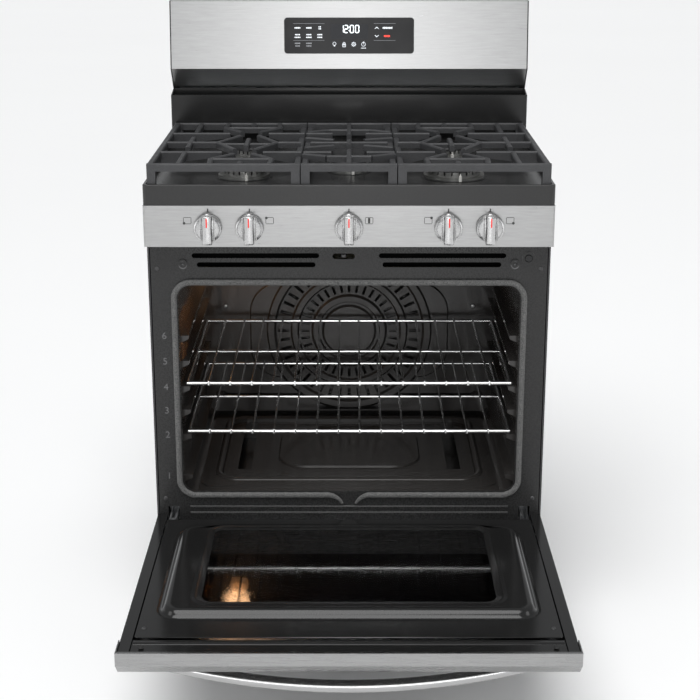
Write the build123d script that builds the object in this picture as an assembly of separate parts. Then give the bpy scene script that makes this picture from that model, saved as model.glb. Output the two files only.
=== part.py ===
from build123d import *
import math
import os

# Freestanding gas range with its oven door open. Millimetres, +Z up, front faces -Y.
# The origin is the centre of the base of the bounding box with the door open.

# ---- overall size ----
HALF_WIDTH = 378.5
TOTAL_HEIGHT = 1182.0
BODY_FRONT = -14.0
BODY_REAR = 560.0
GUARD_REAR = 584.0
BODY_BOTTOM = 38.0
BODY_TOP = 854.5
SHEET = 2.0

# ---- control panel and knobs ----
PANEL_FACE = -54.0
PANEL_BOTTOM = 777.0
KNOB_Z = 814.0
KNOB_X = (-259.0, -182.6, 0.0, 182.6, 259.0)
KNOB_RADIUS = 25.75
KNOB_GAP = 3.5
KNOB_SKIRT = 12.0
KNOB_DEPTH = 32.0
GRIP_WIDTH = 17.0
STEM_RADIUS = 4.0
PLUNGER_RADIUS = 8.0
RUN_CLEARANCE = 0.05

# ---- front frame and oven ----
FRAME_FACE = -16.0
FRAME_HALF = 373.0
FRAME_BOTTOM = 190.0
VENT_SLOTS = ((56.0, 295.0, 746.0), (63.0, 286.0, 728.5))
VENT_HEIGHT = 9.5
OPENING_HALF = 324.0
OPENING_BOTTOM = 274.0
OPENING_TOP = 693.0
OPENING_CORNER = 26.0
CAVITY_HALF = 326.0
CAVITY_FLOOR = 255.0
CAVITY_TOP = 700.0
CAVITY_REAR = 500.0
GASKET_HALF = 337.0
GASKET_BOTTOM = 262.0
GASKET_TOP = 706.0
GASKET_PROUD = 9.6
GASKET_WIDTH = 13.0
GASKET_GAP = 28.0
FLAME_HALF = 276.0
FLAME_FRONT = 76.0
FLAME_REAR = 450.0
BURNER_BOX_BOTTOM = 204.0
SHAFT_HOLE = 8.0
COVER_CENTRE_Z = 456.5
COVER_FACE = 471.0
LAMP_X = -262.0
LAMP_Z = 668.0

# ---- racks ----
RACK_LEVELS = (303.0, 387.5, 439.0, 487.0, 539.0, 590.0)
RACK_HALF = 315.0
RACK_FRONT = 16.0
RACK_REAR = 440.0
RACK_WIRE = 2.2
RACK_FRAME_WIRE = 3.5
RACK_PITCH = 42.0
RACK_WIRES = 14

# ---- cooktop, burners and grates ----
COOKTOP_FRONT = -52.0
COOKTOP_REAR = 440.0
RIM_TOP = 893.0
DECK_TOP = 882.0
RIM_WIDTH = 5.5
RECESS_HALF = HALF_WIDTH - RIM_WIDTH
GRATE_TOP = 930.0
GRATE_FRONT = -44.0
GRATE_REAR = 433.0
GRATE_MIDDLE = (GRATE_FRONT + GRATE_REAR) / 2
BAR = 12.0
SEAM_X = 89.0
SIDE_GRATE_OUTER = 370.0
BURNER_X = 201.0
BURNER_OFFSET = 106.5

# ---- backguard ----
GUARD_CREASE = (449.0, 1042.0)
GUARD_LOWER = (489.0, 999.0)
GUARD_UPPER = (467.0, TOTAL_HEIGHT)
SPLASH_FACE = 441.0
SPLASH_TOP = 987.0
DISPLAY_SIZE = (274.0, 75.0)
DISPLAY_Z = 1110.5

# ---- door, drawn closed and then turned open about its hinge ----
HINGE_Y = -40.0
HINGE_Z = 217.0
DOOR_OUTER = -68.0
DOOR_INNER = -26.0
DOOR_BOTTOM = 197.0
DOOR_TOP = 761.0
DOOR_HALF = 377.0
PLATEAU_RISE = 12.0
WINDOW_HALF = 254.0
WINDOW_BOTTOM = 302.0
WINDOW_TOP = 594.0
HANDLE_Z = 713.0
HANDLE_END = 328.0
HANDLE_OUT = 49.0
HANDLE_THICK = 16.0
HANDLE_TALL = 25.0
EAR_X = (338.0, 341.0, 349.0, 352.0)

# ---- drawer, legs and gas inlet ----
DRAWER_BOTTOM = 62.0
DRAWER_TOP = 178.0
DRAWER_HALF = 340.0
DRAWER_REAR = 470.0
LEG_X = 330.0
LEG_FRONT = 40.0
LEG_REAR = 520.0
INLET_X = 250.0
INLET_Z = 130.0
INLET_BORE = 9.5


# ---- helpers ----
def box(x0, x1, y0, y1, z0, z1):
    """A box between two corners."""
    return Pos((x0 + x1) / 2, (y0 + y1) / 2, (z0 + z1) / 2) * Box(x1 - x0, y1 - y0, z1 - z0)


def bar_x(x0, x1, y, z, radius):
    """A round bar along X."""
    return Pos((x0 + x1) / 2, y, z) * Rot(0, 90, 0) * Cylinder(radius, x1 - x0)


def bar_y(x, y0, y1, z, radius):
    """A round bar along Y."""
    return Pos(x, (y0 + y1) / 2, z) * Rot(90, 0, 0) * Cylinder(radius, y1 - y0)


def bar_z(x, y, z0, z1, radius):
    """A round bar along Z."""
    return Pos(x, y, (z0 + z1) / 2) * Cylinder(radius, z1 - z0)


def prism_x(points, x0, x1):
    """A (y, z) outline drawn out along X."""
    face = make_face(Polyline([(x0, y, z) for y, z in points], close=True))
    return extrude(face, amount=x1 - x0, dir=(1, 0, 0))


def rounded_y(half, z0, z1, y0, y1, corner):
    """A rounded rectangle in the XZ plane, drawn out along Y."""
    plate = Pos(0, (y0 + y1) / 2, (z0 + z1) / 2) * Box(2 * half, y1 - y0, z1 - z0)
    return fillet(plate.edges().filter_by(Axis.Y), corner)


def rounded_z(x0, x1, y0, y1, z0, z1, corner):
    """A rounded rectangle in the XY plane, drawn up along Z."""
    return fillet(box(x0, x1, y0, y1, z0, z1).edges().filter_by(Axis.Z), corner)


def slot_x(x0, x1, y0, y1, z0, z1):
    """A round-ended slot cutter, long in X, running through Y."""
    radius = (z1 - z0) / 2
    middle = (z0 + z1) / 2
    ends = [bar_y(x, y0, y1, middle, radius) for x in (x0 + radius, x1 - radius)]
    return box(x0 + radius, x1 - radius, y0, y1, z0, z1) + ends


def both_sides(shape):
    """The shape and its mirror image on the other side of the range."""
    return [shape, mirror(shape, Plane.YZ)]


def solids_of(items):
    """Every separate solid in a nest of shapes and lists."""
    found = []
    for item in items:
        found += solids_of(item) if isinstance(item, (list, tuple)) else item.solids()
    return found


def save(name, *items):
    """Write one sub-part."""
    os.makedirs("parts", exist_ok=True)
    export_step(Compound(children=solids_of(items)), f"parts/{name}.step")


def save_open(name, *items):
    """Write one door sub-part, turned from its closed drawing to the open rest place."""
    hinge = Axis((0, HINGE_Y, HINGE_Z), (1, 0, 0))
    save(name, [solid.rotate(hinge, 90) for solid in solids_of(items)])


# ---- casing ----
def side_panel(side):
    """Painted side sheet with a small front return and a foot flange."""
    inner = HALF_WIDTH - SHEET
    sheet = box(inner, HALF_WIDTH, BODY_FRONT, BODY_REAR, BODY_BOTTOM, BODY_TOP - 0.5)
    front = box(inner - 1.5, inner, BODY_FRONT, BODY_FRONT + SHEET, BODY_BOTTOM, PANEL_BOTTOM - 1)
    foot = box(inner - 14, inner, 2, BODY_REAR - 4, BODY_BOTTOM, BODY_BOTTOM + SHEET)
    panel = sheet + front + foot
    return panel if side > 0 else mirror(panel, Plane.YZ)


def rear_panel():
    """Rear sheet with a gas inlet hole and rows of cooling slots."""
    half = HALF_WIDTH - SHEET - 0.5
    sheet = box(-half, half, BODY_REAR - SHEET, BODY_REAR, BODY_BOTTOM, BODY_TOP - 1)
    cutters = [bar_y(INLET_X, 500, 600, INLET_Z, 34)]
    for row in range(4):
        for column in range(-3, 4):
            centre = 90 * column
            low = 770 + 16 * row
            cutters.append(slot_x(centre - 34, centre + 34, 550, 570, low, low + 7))
    return sheet - cutters


def base_frame():
    """Ladder of channels that carries the casing, with a threaded boss at each leg."""
    top = BODY_BOTTOM + 22
    half = FRAME_HALF - 2
    rails = []
    for y0, y1 in ((6, 46), (514, 554)):
        rails.append(box(-half, half, y0, y1, BODY_BOTTOM + 2, top))
    for x0, x1 in ((-half, -half + 26), (half - 26, half)):
        rails.append(box(x0, x1, 46, 514, BODY_BOTTOM + 2, top))
    ladder = rails[0] + rails[1:]
    inside = []
    for y0, y1 in ((8, 44), (516, 552)):
        inside.append(box(-half + 28, half - 28, y0, y1, BODY_BOTTOM, top - 2))
    ladder = ladder - inside
    for x in (-LEG_X, LEG_X):
        for y in (LEG_FRONT - 14, LEG_REAR + 14):
            ladder = ladder + bar_z(x, y, BODY_BOTTOM + 2, top + 4, 12)
            ladder = ladder - bar_z(x, y, BODY_BOTTOM - 5, top + 6, 6 + RUN_CLEARANCE)
    return ladder


def levelling_leg(x, y):
    """Threaded stem on a broad foot."""
    foot = bar_z(x, y, 0, 9, 20)
    foot = chamfer(foot.edges().filter_by(GeomType.CIRCLE).sort_by(Axis.Z)[-1], 3)
    hexagon = Pos(x, y, 12) * extrude(RegularPolygon(12, 6), amount=6, both=True)
    return foot + hexagon + bar_z(x, y, 9, BODY_BOTTOM + 28, 6)


# ---- front frame, oven and its fittings ----
def front_frame():
    """Enamelled front plate with the oven opening, vents, latch and hinge slots, and beads."""
    back = FRAME_FACE + SHEET
    frame = box(-FRAME_HALF, FRAME_HALF, FRAME_FACE, back, FRAME_BOTTOM, PANEL_BOTTOM)
    for x0, x1 in ((-FRAME_HALF, -FRAME_HALF + SHEET), (FRAME_HALF - SHEET, FRAME_HALF)):
        frame = frame + box(x0, x1, back, 4, FRAME_BOTTOM, PANEL_BOTTOM)
    frame = frame + box(-FRAME_HALF, FRAME_HALF, back, 4, PANEL_BOTTOM - SHEET, PANEL_BOTTOM)
    opening = rounded_y(OPENING_HALF, OPENING_BOTTOM, OPENING_TOP, -30, 0, OPENING_CORNER)
    cutters = [opening, slot_x(-31, 11, -30, 0, 744, 755)]
    cutters += [bar_y(337, -30, 0, 746, 7.5)]
    for side in (-1, 1):
        for inner, outer, z0 in VENT_SLOTS:
            low, high = sorted((side * inner, side * outer))
            cutters.append(slot_x(low, high, -30, 0, z0, z0 + VENT_HEIGHT))
        low, high = sorted((side * 334, side * 356))
        cutters.append(box(low, high, -30, 0, 203, 242))
    frame = frame - cutters
    for z in (241, 228):
        frame = frame + bar_x(-313, 313, FRAME_FACE + 1, z, 3)
    for side in (-1, 1):
        ring = bar_y(side * 312, FRAME_FACE - 3.5, FRAME_FACE, 736.5, 8)
        frame = frame + (ring - bar_y(side * 312, FRAME_FACE - 6, FRAME_FACE - 1, 736.5, 4))
    collar = bar_y(337, FRAME_FACE - 2.5, FRAME_FACE, 746, 12.7) - bar_y(337, -30, 0, 746, 7.5)
    return frame + collar


def cavity_walls():
    """Side, top, floor and corner sheets of the oven liner, open over the burner box."""
    outer = rounded_y(CAVITY_HALF + SHEET, CAVITY_FLOOR - SHEET, CAVITY_TOP + SHEET,
                      BODY_FRONT, CAVITY_REAR, OPENING_CORNER + SHEET)
    inner = rounded_y(CAVITY_HALF, CAVITY_FLOOR, CAVITY_TOP, BODY_FRONT - 5, CAVITY_REAR + 5,
                      OPENING_CORNER)
    shell = outer - inner
    flat = CAVITY_HALF - OPENING_CORNER
    edge = CAVITY_HALF + SHEET
    heights = [CAVITY_FLOOR - SHEET, CAVITY_FLOOR + OPENING_CORNER, CAVITY_TOP - OPENING_CORNER,
               CAVITY_TOP + SHEET]
    sheets = []
    for low, high in zip(heights, heights[1:]):
        sheets += both_sides(shell & box(flat, edge, BODY_FRONT, CAVITY_REAR, low, high))
    sheets.append(box(-flat, flat, BODY_FRONT, CAVITY_REAR, CAVITY_TOP, CAVITY_TOP + SHEET))
    for y0, y1 in ((BODY_FRONT, FLAME_FRONT), (FLAME_REAR, CAVITY_REAR)):
        sheets.append(box(-flat, flat, y0, y1, CAVITY_FLOOR - SHEET, CAVITY_FLOOR))
    sheets += both_sides(box(FLAME_HALF, flat, FLAME_FRONT, FLAME_REAR, CAVITY_FLOOR - SHEET, CAVITY_FLOOR))
    return sheets


def cavity_rear():
    """Rear wall of the oven in four sheets round the fan shaft, with the lamp hole."""
    y0, y1 = CAVITY_REAR, CAVITY_REAR + SHEET
    edge = CAVITY_HALF + SHEET
    wall = rounded_y(edge, CAVITY_FLOOR - SHEET, CAVITY_TOP + SHEET, y0, y1, OPENING_CORNER + SHEET)
    wall = wall - bar_y(LAMP_X, y0 - 1, y1 + 1, LAMP_Z, 15)
    parts = [box(-edge, -SHAFT_HOLE, y0, y1, 200, 710), box(SHAFT_HOLE, edge, y0, y1, 200, 710),
             box(-SHAFT_HOLE, SHAFT_HOLE, y0, y1, 200, COVER_CENTRE_Z - SHAFT_HOLE),
             box(-SHAFT_HOLE, SHAFT_HOLE, y0, y1, COVER_CENTRE_Z + SHAFT_HOLE, 710)]
    return [wall & part for part in parts]


def burner_box():
    """Open-topped sheet box that holds the bake burner under the oven floor."""
    outer, top = FLAME_HALF + SHEET, CAVITY_FLOOR - SHEET
    front, rear = FLAME_FRONT - SHEET, FLAME_REAR + SHEET
    sheets = [box(-outer, outer, front, rear, BURNER_BOX_BOTTOM, BURNER_BOX_BOTTOM + SHEET)]
    for y0 in (front, FLAME_REAR):
        sheets.append(box(-outer, outer, y0, y0 + SHEET, BURNER_BOX_BOTTOM + SHEET, top))
    sheets += both_sides(box(FLAME_HALF, outer, FLAME_FRONT, FLAME_REAR, BURNER_BOX_BOTTOM + SHEET, top))
    return sheets


def rack_guides():
    """Pressed ledges that the racks slide on, six to each side wall."""
    guides = []
    for level in RACK_LEVELS:
        top = level - RACK_FRAME_WIRE - 0.3
        section = [(CAVITY_HALF, top - 15), (309, top - 7), (309, top), (CAVITY_HALF, top)]
        outline = [(x, 8, z) for x, z in section]
        guide = extrude(make_face(Polyline(outline, close=True)), amount=450, dir=(0, 1, 0))
        guides += both_sides(guide)
    return guides


def oven_cavity():
    """Oven liner, the burner box under its floor, and the rack guides on both walls."""
    return [cavity_walls(), cavity_rear(), burner_box(), rack_guides()]


def oven_floor_panel():
    """Removable oven floor: a dished rounded panel with a slot down each side."""
    rim = rounded_z(-300, 300, 50, 462, CAVITY_FLOOR + 0.2, CAVITY_FLOOR + 2.2, 30)
    dish = rounded_z(-266, 266, 91, 440, 247, CAVITY_FLOOR + 2.2, 40)
    hollow = rounded_z(-264, 264, 93, 438, 249, CAVITY_FLOOR + 3, 38)
    crown = fillet(box(-150, 150, 165, 385, 249, 252.5).edges().filter_by(Axis.Z), 60)
    crown = chamfer(crown.edges().group_by(Axis.Z)[-1], 3)
    panel = (rim + dish) - hollow + crown
    for side in (-1, 1):
        panel = panel - Pos(side * 218, 294.5, 250) * Box(28, 273, 8)
    return panel


def tube_burner(z, half, y0, y1, radius):
    """Looped tube burner with a round fitting at each corner."""
    burner = bar_y(-half, y0, y1, z, radius) + bar_y(half, y0, y1, z, radius)
    for y in (y0, y1):
        burner = burner + bar_x(-half, half, y, z, radius - 1)
        burner = burner + [Pos(x, y, z) * Sphere(radius + 1) for x in (-half, half)]
    return burner


def broil_burner():
    """Ceiling burner with its hangers."""
    burner = tube_burner(682, 130, 90, 380, 7)
    for x in (-130, 130):
        for y in (130, 340):
            burner = burner + bar_z(x, y, 684, CAVITY_TOP - 0.1, 3)
    return burner


def oven_gasket():
    """Rope seal round the oven opening, with a gap between its two ends at the bottom."""
    y0, y1 = FRAME_FACE - GASKET_PROUD, FRAME_FACE
    ring = rounded_y(GASKET_HALF, GASKET_BOTTOM, GASKET_TOP, y0, y1, 38)
    inside = rounded_y(GASKET_HALF - GASKET_WIDTH, GASKET_BOTTOM + GASKET_WIDTH,
                       GASKET_TOP - GASKET_WIDTH, y0 - 1, y1 + 1, 25)
    gap = box(-GASKET_GAP / 2, GASKET_GAP / 2, y0 - 1, y1 + 1, 250, 290)
    return ring - inside - gap


def oven_lamp():
    """Lamp holder behind the rear wall and a glass cover inside the oven."""
    holder = bar_y(LAMP_X, CAVITY_REAR - 3, CAVITY_REAR + 40, LAMP_Z, 14)
    flange = bar_y(LAMP_X, CAVITY_REAR - 3, CAVITY_REAR, LAMP_Z, 22)
    cover = bar_y(LAMP_X, CAVITY_REAR - 24, CAVITY_REAR - 3, LAMP_Z, 19)
    cover = fillet(cover.edges().sort_by(Axis.Y)[0], 9)
    return [holder + flange, cover]


def slot_ring(radius, length, width, count, y0, y1):
    """Cutters for a ring of radial slots about the fan axis."""
    cutters = []
    for index in range(count):
        turn = 360 * index / count
        cutters.append(Pos(0, (y0 + y1) / 2, COVER_CENTRE_Z) * Rot(0, turn, 0)
                       * Pos(radius, 0, 0) * Box(length, y1 - y0, width))
    return cutters


def convection_cover():
    """Pressed fan cover with two rings of radial slots, and the air duct below it."""
    y0 = COVER_FACE
    y1 = y0 + SHEET
    plate = rounded_y(285, 306, 636, y0, y1, 14)
    rim = rounded_y(285, 306, 636, y1, CAVITY_REAR - 0.2, 14)
    rim = rim - rounded_y(283, 308, 634, y1 - 1, CAVITY_REAR + 1, 12)
    lobes = rounded_y(222, COVER_CENTRE_Z - 112, COVER_CENTRE_Z + 112, y0 - 4, y0 + 1, 70)
    lobes = chamfer(lobes.edges().group_by(Axis.Y)[0], 3)
    relief = [(0, -9), (56, -9), (61, -5), (66, -5), (69, -10), (80, -10), (85, -5), (112, -5),
              (116, -10), (127, -10), (131, -5), (163, -5), (168, -9), (181, -9), (188, 0), (0, 0)]
    outline = [(radius, y0 + rise, COVER_CENTRE_Z) for radius, rise in relief]
    axis = Axis((0, 0, COVER_CENTRE_Z), (0, 1, 0))
    dish = revolve(make_face(Polyline(outline, close=True)), axis=axis, revolution_arc=360)
    cover = plate + rim + lobes + dish
    for x in (-266, -250, 250, 266):
        cover = cover + box(x - 2, x + 2, y0 - 2, y0, 312, 630)
    cutters = slot_ring(99, 20, 6, 36, y0 - 11, y1 + 1) + slot_ring(147, 25, 7, 44, y0 - 11, y1 + 1)
    cover = cover - cutters
    duct = rounded_y(306, 266, 302, 464, CAVITY_REAR - 0.2, 8) - box(-70, 70, 460, 490, 270, 298)
    return [cover, duct]


def fan_motor():
    """Motor on the outside of the rear wall."""
    body = bar_y(0, CAVITY_REAR + 12, 546, COVER_CENTRE_Z, 38)
    plate = rounded_y(46, COVER_CENTRE_Z - 46, COVER_CENTRE_Z + 46, CAVITY_REAR + 10, CAVITY_REAR + 12, 8)
    posts = [bar_y(x, CAVITY_REAR + 2, CAVITY_REAR + 10, COVER_CENTRE_Z + z, 4)
             for x in (-38, 38) for z in (-38, 38)]
    motor = body + plate + posts
    return motor - bar_y(0, 490, 536, COVER_CENTRE_Z, STEM_RADIUS + RUN_CLEARANCE)


def convection_fan():
    """Bladed fan wheel on its shaft."""
    disc = bar_y(0, 490, 492, COVER_CENTRE_Z, 70)
    hub = bar_y(0, 478, 496, COVER_CENTRE_Z, 9)
    fan = disc + hub + bar_y(0, 494, 532, COVER_CENTRE_Z, STEM_RADIUS)
    for index in range(10):
        blade = Pos(0, 484, COVER_CENTRE_Z) * Rot(0, 36 * index, 0) * Pos(48, 0, 0)
        fan = fan + blade * Rot(0, 24, 0) * Box(40, 12.2, 1.5)
    return fan


def insulation_blanket():
    """Fibre slabs over the top, sides and rear of the liner."""
    top = box(-346, 346, 40, 548, 703, 724)
    sides = both_sides(box(329, 348, 36, 548, 250, 702.5))
    rear = box(-328, 328, 504, 548, 250, 702) - bar_y(0, 490, 560, COVER_CENTRE_Z, 70)
    rear = rear - bar_y(LAMP_X, 490, 560, LAMP_Z, 24)
    return [top, sides, rear]


def rack(level):
    """Wire rack: a thick frame wire, a middle cross wire and lengthwise wires."""
    side = RACK_HALF
    low = level
    wires = [bar_y(x, RACK_FRONT, RACK_REAR, low, RACK_FRAME_WIRE) for x in (-side, side)]
    wires += [bar_x(-side, side, y, low, RACK_FRAME_WIRE) for y in (RACK_FRONT, RACK_REAR)]
    wires += [Pos(x, y, low) * Sphere(RACK_FRAME_WIRE)
              for x in (-side, side) for y in (RACK_FRONT, RACK_REAR)]
    wires.append(bar_x(-side, side, RACK_FRONT + 203, low, RACK_FRAME_WIRE - 0.5))
    high = low + RACK_FRAME_WIRE + RACK_WIRE - 1
    tip = RACK_FRONT - RACK_FRAME_WIRE - RACK_WIRE + 1
    for index in range(RACK_WIRES):
        x = RACK_PITCH * (index - (RACK_WIRES - 1) / 2)
        wires.append(bar_y(x, tip, RACK_REAR + 2, high, RACK_WIRE))
        wires.append(Pos(x, tip, high) * Sphere(RACK_WIRE))
        wires.append(bar_z(x, tip, low - 2, high, RACK_WIRE))
    return wires[0] + wires[1:]


def light_switch():
    """Sprung plunger that the closing door presses."""
    stem = bar_y(337, FRAME_FACE - 4, 12, 746, 7)
    head = fillet(stem.edges().sort_by(Axis.Y)[0], 2)
    return head + bar_y(337, 10, 14, 746, 9.5)


def door_latch():
    """Flat latch finger that swings in its slot."""
    return rounded_z(-15, -5, BODY_FRONT, 22, 747, 752, 4) - bar_z(-10, 14, 740, 760, 2)


# ---- control panel, valves and knobs ----
def control_panel():
    """Brushed panel folded from one sheet, with a hole for each stem."""
    shell = box(-HALF_WIDTH, HALF_WIDTH, PANEL_FACE, BODY_FRONT, PANEL_BOTTOM, BODY_TOP)
    shell = fillet(shell.edges().filter_by(Axis.Z).group_by(Axis.Y)[0], 4)
    inner = box(-HALF_WIDTH + SHEET, HALF_WIDTH - SHEET, PANEL_FACE + SHEET, BODY_FRONT + 5,
                PANEL_BOTTOM + SHEET, BODY_TOP - SHEET)
    panel = shell - inner
    return panel - [bar_y(x, -60, -40, KNOB_Z, 6.5) for x in KNOB_X]


def gas_valve(x):
    """Valve body with a stepped bore for the stem and its sprung plunger."""
    body = box(x - 13, x + 13, -44, 22, KNOB_Z - 13, KNOB_Z + 13)
    body = chamfer(body.edges().filter_by(Axis.Y), 3)
    bore = bar_y(x, -50, -24, KNOB_Z, PLUNGER_RADIUS + RUN_CLEARANCE)
    return body - bore - bar_y(x, -30, -8, KNOB_Z, STEM_RADIUS + 0.3)


def valve_plunger(x):
    """Collar that carries the stem and pushes in against a spring."""
    collar = bar_y(x, -46, -30, KNOB_Z, PLUNGER_RADIUS)
    return collar - bar_y(x, -50, -28, KNOB_Z, STEM_RADIUS + RUN_CLEARANCE)


def knob(x):
    """Knob with a raised grip bar, side grooves and its own stem."""
    back = PANEL_FACE - KNOB_GAP
    front = PANEL_FACE - KNOB_DEPTH
    skirt = bar_y(x, back - KNOB_SKIRT, back, KNOB_Z, KNOB_RADIUS)
    skirt = fillet(skirt.edges().sort_by(Axis.Y)[0], 3)
    grip = box(x - GRIP_WIDTH / 2, x + GRIP_WIDTH / 2, front, back - 2,
               KNOB_Z - KNOB_RADIUS - 1, KNOB_Z + KNOB_RADIUS + 1)
    grip = fillet(grip.edges().group_by(Axis.Y)[0], 2.5)
    body = skirt + grip
    for side in (-1, 1):
        groove = Pos(x + side * 14, back - KNOB_SKIRT, KNOB_Z) * Box(2.4, 3, 34)
        body = body - groove
    body = body - bar_y(x, back - 20, back + 1, KNOB_Z, STEM_RADIUS)
    stem = bar_y(x, back - 20, -22, KNOB_Z, STEM_RADIUS)
    return [body, stem]


def gas_manifold():
    """Gas rail along the valves, then down the right side to the inlet at the rear."""
    rail_y, side_x, rear_y, radius = 30, 362, 520, 8
    pipe = bar_x(-286, side_x, rail_y, KNOB_Z, radius)
    pipe = pipe + bar_y(side_x, rail_y, rear_y, KNOB_Z, radius)
    pipe = pipe + bar_z(side_x, rear_y, INLET_Z, KNOB_Z, radius)
    pipe = pipe + bar_x(INLET_X, side_x, rear_y, INLET_Z, radius)
    corners = ((side_x, rail_y, KNOB_Z), (side_x, rear_y, KNOB_Z), (side_x, rear_y, INLET_Z))
    pipe = pipe + [Pos(*corner) * Sphere(radius) for corner in corners]
    hexagon = extrude(RegularPolygon(17, 6), amount=15, both=True)
    fitting = Pos(INLET_X, rear_y + 11, INLET_Z) * Rot(90, 0, 0) * hexagon
    return (pipe + fitting) - bar_y(INLET_X, rear_y + 12, rear_y + 40, INLET_Z, INLET_BORE)


# ---- cooktop, burners and grates ----
BURNERS = (
    # x, y, head radius, length added along Y
    (-BURNER_X, GRATE_MIDDLE - BURNER_OFFSET, 41, 0),
    (BURNER_X, GRATE_MIDDLE - BURNER_OFFSET, 50, 0),
    (-BURNER_X, GRATE_MIDDLE + BURNER_OFFSET, 34, 0),
    (BURNER_X, GRATE_MIDDLE + BURNER_OFFSET, 34, 0),
    (0, GRATE_MIDDLE, 30, 110),
)


def stadium(x, y, radius, length, z0, z1):
    """A round or oval disc."""
    if length == 0:
        return bar_z(x, y, z0, z1, radius)
    ends = [bar_z(x, y + step, z0, z1, radius) for step in (-length / 2, length / 2)]
    return box(x - radius, x + radius, y - length / 2, y + length / 2, z0, z1) + ends


def cooktop():
    """Pressed enamel pan with a raised rim and a hole under each burner."""
    pan = box(-HALF_WIDTH, HALF_WIDTH, COOKTOP_FRONT, COOKTOP_REAR, BODY_TOP, RIM_TOP)
    pan = fillet(pan.edges().filter_by(Axis.Z), 10)
    pan = fillet(pan.edges().group_by(Axis.Z)[-1], 2.5)
    recess = rounded_z(-RECESS_HALF, RECESS_HALF, COOKTOP_FRONT + RIM_WIDTH, COOKTOP_REAR - RIM_WIDTH,
                       DECK_TOP, RIM_TOP + 1, 6)
    recess = chamfer(recess.edges().group_by(Axis.Z)[0], 4)
    under = rounded_z(-HALF_WIDTH + SHEET, HALF_WIDTH - SHEET, COOKTOP_FRONT + SHEET,
                      COOKTOP_REAR - SHEET, BODY_TOP - 1, DECK_TOP - SHEET, 8)
    pan = pan - recess - under
    for x, y, radius, length in BURNERS:
        pan = pan + stadium(x, y, radius + 14, length, DECK_TOP - 1, DECK_TOP + 1.2)
        pan = pan - stadium(x, y, radius - 14, length, DECK_TOP - 20, DECK_TOP + 5)
    return pan


def burner_head(x, y, radius, length):
    """Toothed aluminium ring with a flared skirt."""
    base = DECK_TOP + 1.2
    body = stadium(x, y, radius + 8, length, base, base + 4) + stadium(x, y, radius, length, base, base + 15)
    body = body - stadium(x, y, radius - 12, length, base + 6, base + 20)
    slots = []
    count = 22
    for index in range(count):
        angle = 2 * math.pi * index / count
        shift = math.copysign(length / 2, math.sin(angle)) if length else 0
        reach = radius - 6
        slots.append(Pos(x + reach * math.cos(angle), y + shift + reach * math.sin(angle), base + 12)
                     * Rot(0, 0, math.degrees(angle)) * Box(16, 2.6, 8))
    return body - slots


def burner_cap(x, y, radius, length):
    """Enamelled cap that sits on the head."""
    base = DECK_TOP + 16.2
    cap = stadium(x, y, radius + 3, length, base, base + 6)
    return fillet(cap.edges().group_by(Axis.Z)[-1], 3)


def spark_electrode(x, y, radius, length):
    """Ceramic igniter beside the head."""
    place = y - length / 2 - radius - 12
    rod = bar_z(x + 8, place, DECK_TOP + 1.2, DECK_TOP + 12, 3)
    return rod + bar_z(x + 8, place, DECK_TOP + 12, DECK_TOP + 16, 1.2)


def grate_bar(x0, y0, x1, y1, depth=BAR, width=BAR - 2, drop=0.0):
    """A straight grate bar between two points, with chamfered top edges."""
    length = math.hypot(x1 - x0, y1 - y0)
    turn = math.degrees(math.atan2(y1 - y0, x1 - x0))
    top = GRATE_TOP - drop
    half, inset = width / 2, 2.0
    outline = [(-half, top - depth), (half, top - depth), (half, top - inset), (half - inset, top),
               (inset - half, top), (-half, top - inset)]
    bar = prism_x(outline, 0, length)
    return Pos(x0, y0, 0) * Rot(0, 0, turn) * bar


def grate_finger(x0, x1, y):
    """A finger along X that gets shallower from its root at x0 to its tip at x1."""
    half = BAR / 2 - 1
    side = 1 if x1 > x0 else -1
    outline = [(x0, GRATE_TOP - 26), (x0 + side * 14, GRATE_TOP - 24), (x1, GRATE_TOP - 10),
               (x1, GRATE_TOP), (x0, GRATE_TOP)]
    face = make_face(Polyline([(x, y - half, z) for x, z in outline], close=True))
    finger = extrude(face, amount=2 * half, dir=(0, 1, 0))
    return chamfer(finger.edges().group_by(Axis.Z)[-1].filter_by(Axis.X), 2)


def grate_leg(x, y):
    """A corner leg down to its rubber foot on the deck."""
    return box(x - 8, x + 8, y - 7, y + 7, DECK_TOP + 4.5, GRATE_TOP - 1)


def burner_web(x, sign):
    """Bent bars round one burner: two arms, two straight legs, a cross bar and a stub."""
    middle = GRATE_MIDDLE
    near, bend = middle + sign * 125, middle + sign * 178
    edge = GRATE_REAR - BAR / 2 if sign > 0 else GRATE_FRONT + BAR / 2
    bars = [grate_bar(x - 57, bend, x + 57, bend)]
    bars.append(grate_bar(x, edge, x, edge - sign * 26))
    for side in (-1, 1):
        bars.append(grate_bar(x + side * 18, near, x + side * 57, bend))
        bars.append(grate_bar(x + side * 57, bend, x + side * 54, edge))
    return bars


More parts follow.
